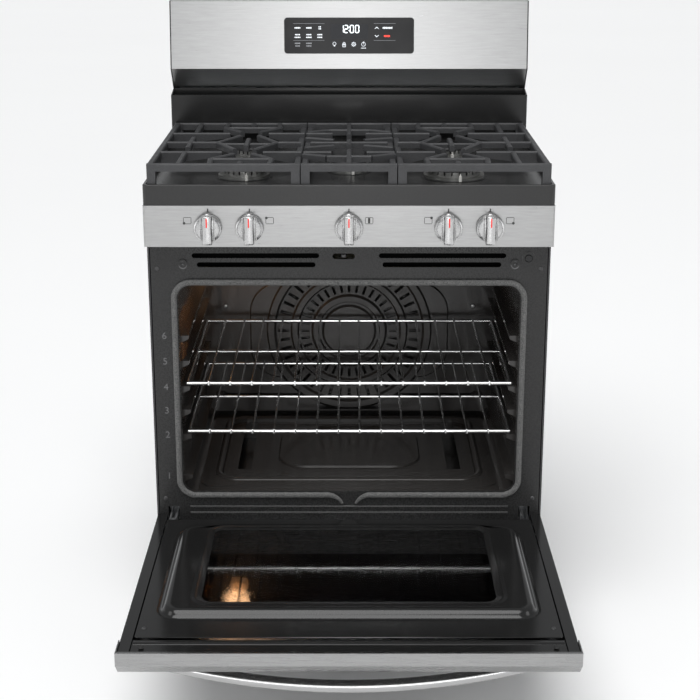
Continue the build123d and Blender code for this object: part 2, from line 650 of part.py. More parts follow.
def side_grate():
    """Left cast grate: frame, fingers, a long hexagon and a web round each burner."""
    outer, seam = -SIDE_GRATE_OUTER, -SEAM_X - 1
    left, right = outer + BAR / 2, seam - BAR / 2
    front, rear = GRATE_FRONT + BAR / 2, GRATE_REAR - BAR / 2
    middle = GRATE_MIDDLE
    x = -BURNER_X
    bars = [grate_bar(outer, front, seam, front, 14, BAR), grate_bar(outer, rear, seam, rear, 14, BAR)]
    bars += [grate_bar(left, front, left, rear, 16, BAR), grate_bar(right, front, right, rear, 14, BAR, 9)]
    bars += burner_web(x, -1) + burner_web(x, 1)
    for sign in (-1, 1):
        y = middle + sign * BURNER_OFFSET
        bars += [grate_finger(outer + 2, x - 42, y), grate_finger(seam - 1, x + 37, y)]
        bars.append(grate_bar(-313, y + sign * 1, -313, front if sign < 0 else rear))
        for side in (-1, 1):
            bars.append(grate_bar(x + side * 58, middle, x + side * 18.5, middle + sign * 80))
    bars += [grate_bar(left, middle, x - 57, middle), grate_bar(x + 57, middle, right, middle)]
    bars.append(grate_bar(-313, middle - 60, -313, middle + 60))
    bars.append(grate_bar(x, middle - 44, x, middle + 44))
    bars.append(grate_bar(x - 57, middle, x + 57, middle, 10, 8, 3))
    legs = [grate_leg(a, b) for a in (outer + 8, seam - 8) for b in (front + 1, rear - 1)]
    return bars[0] + bars[1:] + legs


def centre_grate():
    """Narrow middle grate over the oval burner."""
    half = SEAM_X - 1
    front, rear = GRATE_FRONT + BAR / 2, GRATE_REAR - BAR / 2
    middle = GRATE_MIDDLE
    bars = [grate_bar(-half, y, half, y, 14, BAR) for y in (front, rear)]
    for side in (-1, 1):
        bars.append(grate_bar(side * (half - BAR / 2), front, side * (half - BAR / 2), rear, 14, BAR, 9))
        for sign in (-1, 1):
            y = middle + sign * BURNER_OFFSET
            bars.append(grate_finger(side * (half - 1), side * 34, y))
            bars.append(grate_bar(side * half * 0.98, y - sign * 52, side * 30, y - sign * 74))
            bars.append(grate_bar(side * half * 0.98, y + sign * 20, side * 42, y + sign * 44))
            bars.append(grate_bar(side * 42, y + sign * 44, 0, y + sign * 44))
    bars += [grate_bar(0, front, 0, middle - 84), grate_bar(0, middle + 84, 0, rear)]
    bars.append(grate_bar(0, middle - 30, 0, middle + 30))
    bars.append(grate_bar(-half + BAR, middle, half - BAR, middle))
    legs = [grate_leg(a, b) for a in (-half + 8, half - 8) for b in (front + 1, rear - 1)]
    return bars[0] + bars[1:] + legs


# ---- backguard ----
def folded_sheet(points, thickness, x0, x1):
    """A sheet folded along an open (y, z) line, thickened on the line's right-hand side."""
    line = [Vector(y, z) for y, z in points]
    inner = []
    for index, point in enumerate(line):
        normals = []
        for a, b in ((index - 1, index), (index, index + 1)):
            if a >= 0 and b < len(line):
                step = (line[b] - line[a]).normalized()
                normals.append(Vector(step.Y, -step.X))
        mean = sum(normals[1:], normals[0]).normalized()
        inner.append(point + mean * (thickness / mean.dot(normals[0])))
    outline = [(p.X, p.Y) for p in line] + [(p.X, p.Y) for p in reversed(inner)]
    return prism_x(outline, x0, x1)


def backguard_panel():
    """Brushed panel: chamfer, leaning face and flat top, folded from one sheet."""
    half = HALF_WIDTH - 2.5
    points = [GUARD_LOWER, GUARD_CREASE, GUARD_UPPER, (GUARD_REAR - SHEET, TOTAL_HEIGHT)]
    return folded_sheet(points, SHEET, -half, half)


def backguard_rear():
    """Rear cover of the backguard with its cooling slots."""
    half = HALF_WIDTH - 2.5
    cover = box(-half, half, GUARD_REAR - SHEET, GUARD_REAR, RIM_TOP, TOTAL_HEIGHT)
    deck = box(-half, half, COOKTOP_REAR + 3, GUARD_REAR - SHEET, RIM_TOP, RIM_TOP + SHEET)
    apron = box(-half, half, BODY_REAR - SHEET, BODY_REAR, BODY_TOP, RIM_TOP)
    cover = cover + deck + apron - box(-300, 300, 490, 556, RIM_TOP - 1, RIM_TOP + 3)
    for column in range(-3, 4):
        for z in (1040, 1060, 1080):
            cover = cover - slot_x(90 * column - 32, 90 * column + 32, 570, 590, z, z + 7)
    return cover


def backguard_end_caps():
    """Moulded end caps that close the backguard's sides."""
    outline = [(SPLASH_FACE, BODY_TOP), (SPLASH_FACE, SPLASH_TOP), (GUARD_LOWER[0], GUARD_LOWER[1] - 4),
               GUARD_CREASE, GUARD_UPPER, (GUARD_REAR, TOTAL_HEIGHT), (GUARD_REAR, RIM_TOP),
               (BODY_REAR, RIM_TOP), (BODY_REAR, BODY_TOP)]
    cap = prism_x(outline, HALF_WIDTH - 2.5, HALF_WIDTH)
    lug = box(HALF_WIDTH - 14, HALF_WIDTH - 2.5, 452, 474, 975, 984)
    return both_sides(cap + lug)


def lower_backsplash():
    """Black splash wall under the flue slot, with its top return."""
    half = HALF_WIDTH - 2.5
    points = [(SPLASH_FACE, BODY_TOP), (SPLASH_FACE, SPLASH_TOP), (SPLASH_FACE + 9, SPLASH_TOP)]
    wall = folded_sheet(points, SHEET, -half, half)
    baffle = box(-half, half, 486, 488, RIM_TOP + SHEET, 996)
    return [wall, baffle]


def display_glass():
    """Rounded black glass on the leaning face."""
    width, height = DISPLAY_SIZE
    lean = math.atan2(GUARD_UPPER[0] - GUARD_CREASE[0], GUARD_UPPER[1] - GUARD_CREASE[1])
    surface = GUARD_CREASE[0] + (DISPLAY_Z - GUARD_CREASE[1]) * math.tan(lean)
    glass = fillet(Box(width, 2, height).edges().filter_by(Axis.Y), 7)
    offset_y, offset_z = -math.cos(lean), math.sin(lean)
    return Pos(0, surface + offset_y, DISPLAY_Z + offset_z) * Rot(-math.degrees(lean), 0, 0) * glass


# ---- door ----
def door_skin():
    """Steel outer skin with its side returns, chamfered lip and end wraps."""
    points = [(DOOR_OUTER, DOOR_BOTTOM), (DOOR_OUTER, 738), (-45, DOOR_TOP), (-22, DOOR_TOP), (-22, 755)]
    skin = folded_sheet(points, SHEET, -DOOR_HALF, DOOR_HALF)
    side = [(DOOR_OUTER, DOOR_BOTTOM), (DOOR_OUTER, 738), (-45, DOOR_TOP), (-22, DOOR_TOP),
            (-22, 717), (-45, 717), (-45, DOOR_BOTTOM)]
    for x0 in (-DOOR_HALF, DOOR_HALF - SHEET):
        skin = skin + prism_x(side, x0, x0 + SHEET)
    return skin - rounded_y(250, 330, 575, -75, -60, 12)


def door_window():
    """Outer window glass behind the skin."""
    return rounded_y(264, 316, 589, DOOR_OUTER + SHEET, DOOR_OUTER + SHEET + 4, 12)


def tapered_plateau(half, bottom, top, y, rise, corner, taper=36.0):
    """A raised rounded field whose sides slope in."""
    plane = Plane(origin=(0, y, (bottom + top) / 2), x_dir=(1, 0, 0), z_dir=(0, 1, 0))
    sketch = plane * RectangleRounded(2 * half, top - bottom, corner)
    return extrude(sketch, amount=rise, taper=taper)


def door_inner_panel():
    """Enamelled inner panel with a raised field round the window."""
    back = DOOR_INNER - SHEET
    plate = box(-354, 354, back, DOOR_INNER, 232, 700)
    field = tapered_plateau(321, 278, 634, DOOR_INNER - 0.5, PLATEAU_RISE + 0.5, 34)
    hollow = tapered_plateau(319, 280, 632, back - 0.5, PLATEAU_RISE + 0.5, 32)
    window = rounded_y(WINDOW_HALF, WINDOW_BOTTOM, WINDOW_TOP, -30, 0, 20)
    return (plate + field) - hollow - window


def door_inner_glass():
    """Inner window glass behind the raised field."""
    return rounded_y(262, WINDOW_BOTTOM - 8, WINDOW_TOP + 8, -21, -16.5, 14)


def door_top_trim():
    """Black channel across the top of the door."""
    top = DOOR_INNER - 3
    shell = box(-355, 355, -44, top, 701, 755)
    shell = fillet(shell.edges().filter_by(Axis.X).group_by(Axis.Y)[-1], 4)
    shell = shell - box(-353, 353, -45, top - SHEET, 703, 753)
    ridge = bar_x(-353, 353, top - 8, 714, 10) & box(-353, 353, top - 1, top + 3, 702, 726)
    return shell + ridge


def door_side_channels():
    """Side channels that tie the skin to the inner panel."""
    shell = box(356, DOOR_HALF - SHEET, -44, DOOR_INNER, 205, 756)
    return both_sides(shell - box(358, DOOR_HALF - SHEET - 2, -45, DOOR_INNER - SHEET, 207, 754))


def door_hinge_arms():
    """Flat arms bored for the hinge pins, with a fixing flange."""
    arm = box(342, 348, -48, -32, 207, 330)
    arm = fillet(arm.edges().filter_by(Axis.X).group_by(Axis.Z)[0], 5)
    flange = box(348, 356, -48, -45, 250, 326)
    arm = (arm + flange) - bar_x(330, 360, HINGE_Y, HINGE_Z, STEM_RADIUS + RUN_CLEARANCE)
    return both_sides(arm)


def door_handle():
    """Bowed bar whose two ends meet the skin."""
    face, front, z0 = DOOR_OUTER, DOOR_OUTER - HANDLE_OUT, HANDLE_Z - HANDLE_TALL / 2
    heel, inner_end = face - 6, HANDLE_END - 28
    outer = ThreePointArc((-HANDLE_END, heel, z0), (0, front, z0), (HANDLE_END, heel, z0))
    inner = ThreePointArc((inner_end, face, z0), (0, front + HANDLE_THICK, z0), (-inner_end, face, z0))
    right = Polyline((HANDLE_END, heel, z0), (HANDLE_END, face, z0), (inner_end, face, z0))
    left = Polyline((-inner_end, face, z0), (-HANDLE_END, face, z0), (-HANDLE_END, heel, z0))
    bow = extrude(make_face([outer, right, inner, left]), amount=HANDLE_TALL, dir=(0, 0, 1))
    outer_edges = bow.edges().filter_by(GeomType.CIRCLE).group_by(SortBy.LENGTH)[-1]
    return chamfer(outer_edges, 4)


def hinge_receivers():
    """Fixed ears and pins that the door arms turn on."""
    ears = [box(EAR_X[0], EAR_X[1], -46, 30, 207, 227), box(EAR_X[2], EAR_X[3], -46, 30, 207, 227)]
    bridge = box(EAR_X[1], EAR_X[2], 20, 30, 207, 227)
    pin = bar_x(EAR_X[0] + 1, EAR_X[3] - 1, HINGE_Y, HINGE_Z, STEM_RADIUS)
    foot = box(333, 357, 22, 26, 198, 246)
    return both_sides(ears[0] + ears[1] + bridge + pin + foot)


# ---- drawer ----
def drawer_front():
    """Drawer front with a return round its back edge."""
    shell = box(-DOOR_HALF, DOOR_HALF, DOOR_OUTER, -50, DRAWER_BOTTOM, DRAWER_TOP)
    shell = fillet(shell.edges().group_by(Axis.Y)[0], 3)
    return shell - box(-DOOR_HALF + 2, DOOR_HALF - 2, DOOR_OUTER + 2, -49, DRAWER_BOTTOM + 2, DRAWER_TOP - 2)


def drawer_box():
    """Open storage box."""
    shell = box(-DRAWER_HALF, DRAWER_HALF, -50, DRAWER_REAR, 75, 160)
    shell = shell - box(-DRAWER_HALF + 1.5, DRAWER_HALF - 1.5, -48.5, DRAWER_REAR - 1.5, 76.5, 161)
    return shell


def drawer_rails():
    """Fixed side rails with their brackets."""
    rail = box(341.5, 345, 0, 480, 96, 128) + box(345, 352, 0, 480, 96, 99)
    for y in (30, 420):
        rail = rail + box(345, HALF_WIDTH - SHEET, y, y + 30, 99, 102)
    return both_sides(rail)


# ---- write every sub-part ----
save("side_panel_left", side_panel(-1))
save("side_panel_right", side_panel(1))
save("rear_panel", rear_panel())
save("base_frame", base_frame())
for leg_name, leg_x, leg_y in (("front_left", -LEG_X, LEG_FRONT - 14), ("front_right", LEG_X, LEG_FRONT - 14),
                               ("rear_left", -LEG_X, LEG_REAR + 14), ("rear_right", LEG_X, LEG_REAR + 14)):
    save("leg_" + leg_name, levelling_leg(leg_x, leg_y))
save("front_frame", front_frame())
save("oven_cavity", oven_cavity())
save("oven_floor_panel", oven_floor_panel())
save("bake_burner", tube_burner(226, 150, 110, 420, 10))
save("broil_burner", broil_burner())
save("oven_gasket", oven_gasket())
save("oven_lamp", oven_lamp())
save("convection_cover", convection_cover())
save("convection_fan", convection_fan())
save("fan_motor", fan_motor())
save("insulation_blanket", insulation_blanket())
save("rack_upper", rack(RACK_LEVELS[3]))
save("rack_lower", rack(RACK_LEVELS[1]))
save("light_switch", light_switch())
save("door_latch", door_latch())
save("control_panel", control_panel())
save("gas_valves", [gas_valve(x) for x in KNOB_X])
save("gas_manifold", gas_manifold())
for number, knob_x in enumerate(KNOB_X, start=1):
    save(f"valve_plunger_{number}", valve_plunger(knob_x))
    save(f"knob_{number}", knob(knob_x))
save("cooktop", cooktop())
save("burner_heads", [burner_head(*burner) for burner in BURNERS])
save("burner_caps", [burner_cap(*burner) for burner in BURNERS])
save("spark_electrodes", [spark_electrode(*burner) for burner in BURNERS])
left_grate = side_grate()
save("grate_left", left_grate)
save("grate_right", mirror(left_grate, Plane.YZ))
save("grate_centre", centre_grate())
save("backguard_panel", backguard_panel())
save("backguard_rear", backguard_rear())
save("backguard_end_caps", backguard_end_caps())
save("lower_backsplash", lower_backsplash())
save("display_glass", display_glass())
save_open("door_skin", door_skin())
save_open("door_window", door_window())
save_open("door_inner_panel", door_inner_panel())
save_open("door_inner_glass", door_inner_glass())
save_open("door_top_trim", door_top_trim())
save_open("door_side_channels", door_side_channels())
save_open("door_hinge_arms", door_hinge_arms())
save_open("door_handle", door_handle())
save("hinge_receivers", hinge_receivers())
save("drawer_front", drawer_front())
save("drawer_box", drawer_box())
save("drawer_rails", drawer_rails())
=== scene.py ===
"""Looks of a freestanding gas range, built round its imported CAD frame. Metres, front faces -Y."""
import math

import bmesh
import bpy
from mathutils import Matrix, Vector


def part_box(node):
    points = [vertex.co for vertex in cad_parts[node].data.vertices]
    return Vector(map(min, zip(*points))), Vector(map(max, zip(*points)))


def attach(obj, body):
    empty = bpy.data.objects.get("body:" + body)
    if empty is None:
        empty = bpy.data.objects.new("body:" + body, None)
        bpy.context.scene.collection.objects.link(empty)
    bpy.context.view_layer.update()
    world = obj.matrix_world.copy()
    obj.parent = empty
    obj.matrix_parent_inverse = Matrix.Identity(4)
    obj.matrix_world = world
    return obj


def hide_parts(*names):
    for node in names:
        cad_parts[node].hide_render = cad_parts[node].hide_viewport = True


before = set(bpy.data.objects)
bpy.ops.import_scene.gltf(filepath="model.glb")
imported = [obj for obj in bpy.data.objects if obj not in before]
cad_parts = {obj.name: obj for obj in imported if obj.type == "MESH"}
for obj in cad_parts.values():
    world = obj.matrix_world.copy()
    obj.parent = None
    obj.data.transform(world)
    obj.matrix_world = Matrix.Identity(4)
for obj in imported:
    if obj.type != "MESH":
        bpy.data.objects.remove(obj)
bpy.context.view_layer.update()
MM = 0.001
ROOT = "range_body"
DOOR = "door"


# ---------------------------------------------------------------- materials
class Surface:
    """A Principled material and the few texture nodes that vary it."""

    def __init__(self, name, colour, roughness, metallic=0.0, **sockets):
        self.material = bpy.data.materials.new(name)
        self.material.use_nodes = True
        self.nodes = self.material.node_tree.nodes
        self.links = self.material.node_tree.links
        self.shader = self.nodes["Principled BSDF"]
        self.set("Base Color", (*colour, 1.0))
        self.set("Roughness", roughness)
        self.set("Metallic", metallic)
        for key, value in sockets.items():
            self.set(key.replace("_", " "), value)
        self.coordinates = self.nodes.new("ShaderNodeTexCoord")

    def set(self, socket, value):
        self.shader.inputs[socket].default_value = value

    def mapped(self, stretch):
        mapping = self.nodes.new("ShaderNodeMapping")
        mapping.inputs["Scale"].default_value = stretch
        self.links.new(self.coordinates.outputs["Object"], mapping.inputs["Vector"])
        return mapping.outputs["Vector"]

    def noise(self, scale, stretch=(1, 1, 1), detail=4.0, rough=0.55):
        node = self.nodes.new("ShaderNodeTexNoise")
        node.inputs["Scale"].default_value = scale
        node.inputs["Detail"].default_value = detail
        node.inputs["Roughness"].default_value = rough
        self.links.new(self.mapped(stretch), node.inputs["Vector"])
        return node.outputs["Fac"]

    def cells(self, scale, output="Distance"):
        node = self.nodes.new("ShaderNodeTexVoronoi")
        node.inputs["Scale"].default_value = scale
        self.links.new(self.mapped((1, 1, 1)), node.inputs["Vector"])
        return node.outputs[output]

    def ramp(self, source, low, high, start=0.0, end=1.0):
        node = self.nodes.new("ShaderNodeMapRange")
        for key, value in (("From Min", low), ("From Max", high), ("To Min", start), ("To Max", end)):
            node.inputs[key].default_value = value
        self.links.new(source, node.inputs["Value"])
        return node.outputs["Result"]

    def tint(self, factor, first, second):
        node = self.nodes.new("ShaderNodeMix")
        node.data_type = "RGBA"
        node.inputs["A"].default_value = (*first, 1.0)
        node.inputs["B"].default_value = (*second, 1.0)
        self.links.new(factor, node.inputs["Factor"])
        self.links.new(node.outputs["Result"], self.shader.inputs["Base Color"])

    def polish(self, source, low, high, smooth, coarse):
        self.links.new(self.ramp(source, low, high, smooth, coarse), self.shader.inputs["Roughness"])

    def bump(self, source, distance, strength=1.0):
        node = self.nodes.new("ShaderNodeBump")
        node.inputs["Distance"].default_value = distance
        node.inputs["Strength"].default_value = strength
        self.links.new(source, node.inputs["Height"])
        self.links.new(node.outputs["Normal"], self.shader.inputs["Normal"])


def brushed(name, tone, stretch, roughness=0.30):
    """Stainless sheet with fine brush lines along the axis that stretch scales least."""
    surface = Surface(name, (tone, tone, tone * 0.985), roughness, 1.0, Anisotropic=0.3)
    grain = surface.noise(1.0, stretch, 6.0, 0.72)
    surface.tint(surface.ramp(grain, 0.3, 0.7), (tone * 0.9,) * 3, (tone * 1.09,) * 3)
    surface.polish(grain, 0.3, 0.7, roughness - 0.03, roughness + 0.05)
    surface.bump(grain, 0.00003, 0.15)
    return surface.material


def enamel(name, tone, roughness=0.14, speck=0.0, shine=0.35):
    """Porcelain enamel: glossy with a slight orange peel, and pale specks if asked for."""
    surface = Surface(name, (tone, tone, tone), roughness, 0.0, Specular_IOR_Level=shine)
    peel = surface.noise(330.0, detail=2.0)
    if speck:
        dots = surface.ramp(surface.cells(900.0), 0.10, 0.17, 1.0, 0.0)
        surface.tint(dots, (tone, tone * 0.93, tone * 0.88), (speck, speck * 0.97, speck * 0.93))
    else:
        surface.tint(surface.ramp(peel, 0.3, 0.7), (tone * 0.94,) * 3, (tone * 1.07,) * 3)
    surface.polish(peel, 0.3, 0.7, roughness, roughness + 0.03)
    surface.bump(peel, 0.00005, 0.05)
    return surface.material


def cast_iron():
    """Matte porcelain-coated casting with a sandy grain."""
    surface = Surface("cast_iron_matte", (0.035, 0.036, 0.038), 0.5, Specular_IOR_Level=0.4)
    grain = surface.noise(700.0, detail=5.0, rough=0.7)
    surface.tint(surface.ramp(grain, 0.35, 0.7), (0.022, 0.022, 0.024), (0.055, 0.056, 0.058))
    surface.polish(surface.noise(40.0), 0.3, 0.7, 0.42, 0.58)
    surface.bump(grain, 0.0004, 0.5)
    return surface.material


def plain(name, colour, roughness, metallic=0.0, scale=60.0, depth=0.0002, vary=0.12, **sockets):
    """A moulded, cast or painted surface with fine grain."""
    surface = Surface(name, colour, roughness, metallic, **sockets)
    grain = surface.noise(scale, detail=5.0)
    surface.tint(surface.ramp(grain, 0.3, 0.7), tuple(c * (1 - vary) for c in colour),
                 tuple(min(1.0, c * (1 + vary)) for c in colour))
    surface.polish(grain, 0.3, 0.7, max(0.02, roughness - 0.04), roughness + 0.06)
    surface.bump(grain, depth, 0.4)
    return surface.material


def galvanised():
    """Zinc-coated sheet with its crystal spangle."""
    surface = Surface("zinc_sheet", (0.45, 0.46, 0.47), 0.42, 1.0)
    spangle = surface.cells(45.0, "Color")
    surface.polish(spangle, 0.0, 1.0, 0.3, 0.52)
    surface.tint(surface.ramp(spangle, 0, 1), (0.36, 0.37, 0.38), (0.55, 0.56, 0.57))
    return surface.material


def woven():
    """Braided glass-fibre rope."""
    surface = Surface("gasket_braid", (0.08, 0.08, 0.08), 0.85, Sheen_Weight=0.08)
    strands = surface.noise(700.0, detail=3.0)
    surface.tint(surface.ramp(strands, 0.35, 0.65), (0.025, 0.025, 0.025), (0.15, 0.15, 0.147))
    surface.bump(strands, 0.0006, 0.8)
    return surface.material


def glass(name, colour, roughness=0.03):
    """Tinted sheet glass with faint unevenness."""
    surface = Surface(name, colour, roughness, 0.0, Transmission_Weight=1.0, IOR=1.5)
    surface.polish(surface.noise(8.0), 0.3, 0.7, roughness, roughness + 0.02)
    return surface.material


def fibre():
    """Mineral wool."""
    surface = Surface("mineral_wool", (0.62, 0.52, 0.28), 0.95, Sheen_Weight=0.4)
    tuft = surface.noise(160.0, detail=8.0, rough=0.75)
    surface.tint(surface.ramp(tuft, 0.3, 0.7), (0.45, 0.36, 0.17), (0.8, 0.72, 0.46))
    surface.bump(tuft, 0.003, 1.0)
    return surface.material


def glowing(name, colour, strength):
    """A lit mark."""
    surface = Surface(name, colour, 0.4, Emission_Color=(*colour, 1.0), Emission_Strength=strength)
    surface.polish(surface.noise(300.0), 0.3, 0.7, 0.36, 0.44)
    return surface.material


BRUSH_LINES = (22, 330, 330)
STEEL = brushed("steel_brushed_across", 0.37, BRUSH_LINES, 0.3)
# door and drawer steel: the panel's brushed stainless painted darker, as shade standing in for the dimmer
# reflection on the door's front lip
STEEL_DOOR_SHADED = brushed("steel_brushed_door_shaded", 0.33, BRUSH_LINES, 0.27)
KNOB_STEEL = plain("knob_satin", (0.5, 0.5, 0.5), 0.27, 1.0, 500.0, 0.00002, 0.05)
HANDLE_STEEL = brushed("handle_satin", 0.4, BRUSH_LINES, 0.24)
BLACK_ENAMEL = enamel("black_porcelain", 0.012, 0.16)
COOK_ENAMEL = enamel("cooktop_porcelain", 0.03, 0.24, shine=0.25)
FRAME_ENAMEL = enamel("frame_porcelain", 0.02, 0.26, shine=0.3)
DOOR_ENAMEL = enamel("door_porcelain", 0.011, 0.13, shine=0.4)
OVEN_ENAMEL = enamel("oven_porcelain", 0.03, 0.17, 0.1, 0.5)
CAST_IRON = cast_iron()
CHROME = plain("rack_chrome", (0.82, 0.82, 0.82), 0.1, 1.0, 30.0, 0.00005, 0.05)
GALVANISED = galvanised()
SIDE_PAINT = plain("side_paint", (0.022, 0.022, 0.024), 0.38, 0.0, 380.0, 0.0003)
ALLOY = plain("burner_alloy", (0.32, 0.32, 0.31), 0.38, 1.0, 500.0, 0.0003)
CAP_ENAMEL = plain("cap_enamel", (0.02, 0.02, 0.021), 0.42, 0.0, 500.0, 0.0002)
CERAMIC = plain("igniter_ceramic", (0.8, 0.79, 0.75), 0.3, 0.0, 200.0, 0.0001)
DISPLAY_BLACK = plain("display_black", (0.009, 0.009, 0.010), 0.12, 0.0, 20.0, 0.00001,
                      Specular_IOR_Level=0.12)
DISPLAY_FIELD = plain("display_field", (0.017, 0.018, 0.021), 0.2, 0.0, 20.0, 0.00001,
                      Specular_IOR_Level=0.12)
OVEN_GLASS = glass("oven_glass", (0.55, 0.55, 0.55))
DARK_GLASS = plain("outer_glass", (0.004, 0.004, 0.005), 0.06, 0.0, 20.0, 0.00001,
                   Specular_IOR_Level=0.22)
LAMP_GLASS = glowing("lamp_cover", (0.6, 0.36, 0.17), 0.3)
GASKET = woven()
WOOL = fibre()
PLASTIC = plain("black_moulding", (0.015, 0.015, 0.016), 0.45, 0.0, 420.0, 0.0003,
                Specular_IOR_Level=0.3)
RUBBER = plain("black_rubber", (0.012, 0.012, 0.012), 0.7, 0.0, 300.0, 0.0004)
BRASS = plain("valve_brass", (0.62, 0.5, 0.28), 0.3, 1.0, 90.0, 0.0001)
PIPE = plain("pipe_alloy", (0.5, 0.5, 0.5), 0.36, 1.0, 120.0, 0.0002)
SCREW = plain("screw_steel", (0.4, 0.4, 0.4), 0.3, 1.0, 200.0, 0.0001)
# duct sheet coloured near-black and matte as painted shade inside the vent slots over the oven
DUCT_PAINTED_SHADE = plain("duct_painted_shade", (0.003, 0.003, 0.003), 0.8, 0.0, 90.0, 0.0002,
                   Specular_IOR_Level=0.05)
DARK_SCREW = plain("screw_blacked", (0.035, 0.035, 0.036), 0.35, 0.0, 200.0, 0.0001)
RED_PAINT = plain("pointer_red", (0.75, 0.02, 0.015), 0.35, 0.0, 200.0, 0.00005)
BLACK_INK = plain("printed_black", (0.02, 0.02, 0.02), 0.5, 0.0, 300.0, 0.00002)
EMBOSS = plain("frame_emboss", (0.12, 0.12, 0.123), 0.3, 0.0, 200.0, 0.00005)
WHITE_GLOW = glowing("digits_white", (0.9, 0.97, 1.0), 2.4)
SOFT_GLOW = glowing("labels_white", (0.8, 0.84, 0.88), 0.55)
DIM_GLOW = glowing("lines_grey", (0.3, 0.31, 0.33), 0.12)
RED_GLOW = glowing("label_red", (1.0, 0.05, 0.03), 1.2)

NODE_MATERIALS = {
    "side_panel_left": SIDE_PAINT, "side_panel_right": SIDE_PAINT, "rear_panel": GALVANISED,
    "base_frame": GALVANISED, "front_frame": FRAME_ENAMEL, "oven_cavity": OVEN_ENAMEL,
    "convection_cover": OVEN_ENAMEL, "convection_fan": ALLOY, "fan_motor": GALVANISED,
    "oven_floor_panel": OVEN_ENAMEL, "bake_burner": PIPE, "broil_burner": PIPE, "oven_gasket": GASKET,
    "oven_lamp": LAMP_GLASS, "insulation_blanket": WOOL, "control_panel": STEEL, "gas_valves": BRASS,
    "gas_manifold": PIPE, "cooktop": COOK_ENAMEL, "burner_heads": ALLOY, "burner_caps": CAP_ENAMEL,
    "spark_electrodes": CERAMIC, "backguard_panel": STEEL, "backguard_rear": GALVANISED,
    "backguard_end_caps": PLASTIC, "lower_backsplash": BLACK_ENAMEL, "display_glass": DISPLAY_BLACK,
    "hinge_receivers": GALVANISED, "drawer_rails": GALVANISED, "grate_left": CAST_IRON,
    "grate_centre": CAST_IRON, "grate_right": CAST_IRON, "rack_upper": CHROME, "rack_lower": CHROME,
    "light_switch": PLASTIC, "door_latch": DARK_SCREW, "door_skin": STEEL_DOOR_SHADED, "door_window": DARK_GLASS,
    "door_inner_panel": DOOR_ENAMEL, "door_inner_glass": OVEN_GLASS, "door_top_trim": DOOR_ENAMEL,
    "door_side_channels": DOOR_ENAMEL, "door_hinge_arms": GALVANISED, "door_handle": HANDLE_STEEL,
    "drawer_front": STEEL_DOOR_SHADED, "drawer_box": BLACK_ENAMEL,
}
for leg in ("front_left", "front_right", "rear_left", "rear_right"):
    NODE_MATERIALS["leg_" + leg] = PLASTIC
for number in range(1, 6):
    NODE_MATERIALS[f"knob_{number}"] = KNOB_STEEL
    NODE_MATERIALS[f"valve_plunger_{number}"] = BRASS


def dress_nodes():
    """Give every CAD node its material."""
    for name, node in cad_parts.items():
        slots = node.material_slots
        if not slots:
            node.data.materials.append(NODE_MATERIALS[name])
        for slot in slots:
            slot.material = NODE_MATERIALS[name]


# ---------------------------------------------------------------- mesh helpers
SHARP_ANGLE = math.radians(40)
FRONT, UP = Vector((0, -1, 0)), Vector((0, 0, 1))
SIDES = ((-1, "left"), (1, "right"))
CORNER_STEPS = 12


def piece(name, mesh, material, body, smooth=True, bevel=0.0, replaces=()):
    """Turn a bmesh into an object that rides on a body."""
    data = bpy.data.meshes.new(name)
    bmesh.ops.recalc_face_normals(mesh, faces=mesh.faces)
    mesh.to_mesh(data)
    mesh.free()
    data.materials.append(material)
    thing = bpy.data.objects.new(name, data)
    bpy.context.scene.collection.objects.link(thing)
    for polygon in data.polygons:
        polygon.use_smooth = smooth
    if bevel:
        modifier = thing.modifiers.new("edges", "BEVEL")
        modifier.width, modifier.segments, modifier.limit_method = bevel, 2, "ANGLE"
    if smooth:
        data.set_sharp_from_angle(angle=SHARP_ANGLE)
    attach(thing, body)
    if replaces:
        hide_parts(*replaces)


def add_block(mesh, centre, size, turn=Matrix.Identity(4)):
    """A box about its centre."""
    place = Matrix.Translation(centre) @ turn @ Matrix.Diagonal((*size, 1.0))
    bmesh.ops.create_cube(mesh, size=1.0, matrix=place)


AXIS_TURNS = {"Y": Matrix.Rotation(math.pi / 2, 4, "X"), "Z": Matrix.Identity(4)}


def add_disc(mesh, centre, radius, depth, axis, segments, tip=None):
    """A short cylinder or cone along an axis."""
    bmesh.ops.create_cone(mesh, cap_ends=True, segments=segments, radius1=radius,
                          radius2=radius if tip is None else tip, depth=depth,
                          matrix=Matrix.Translation(centre) @ AXIS_TURNS[axis])


def skin(mesh, outlines, joined=False):
    """Faces between neighbouring outlines of equal count; the ends are joined, or else capped."""
    rows = [[mesh.verts.new(point) for point in outline] for outline in outlines]
    size = len(rows[0])
    following = rows[1:] + rows[:1] if joined else rows[1:]
    for first, second in zip(rows, following):
        for k in range(size):
            mesh.faces.new((first[k], first[(k + 1) % size], second[(k + 1) % size], second[k]))
    if not joined:
        mesh.faces.new(rows[0])
        mesh.faces.new(rows[-1])


def sweep(mesh, path, ring):
    """Skin a ring of points, given as a function of the path index, point and direction, along a path."""
    outlines = []
    for index, point in enumerate(path):
        ahead = path[min(index + 1, len(path) - 1)]
        behind = path[max(index - 1, 0)]
        outlines.append(ring(index, point, (ahead - behind).normalized()))
    skin(mesh, outlines)


def turned(centre, profile, segments):
    """Circles about a Y axis, one for each (y, radius) of a profile."""
    angles = [2 * math.pi * k / segments for k in range(segments)]
    return [[centre + Vector((radius * math.cos(a), y, radius * math.sin(a))) for a in angles]
            for y, radius in profile]


def rounded_outline(half, front, rear, corner, z):
    """Points round a rounded rectangle in XY at one height, the same number for any size."""
    centres = ((half - corner, rear - corner, 0), (-half + corner, rear - corner, 90),
               (-half + corner, front + corner, 180), (half - corner, front + corner, 270))
    points = []
    for x, y, start in centres:
        for k in range(CORNER_STEPS + 1):
            angle = math.radians(start + 90 * k / CORNER_STEPS)
            points.append(Vector((x + corner * math.cos(angle), y + corner * math.sin(angle), z)))
    return points


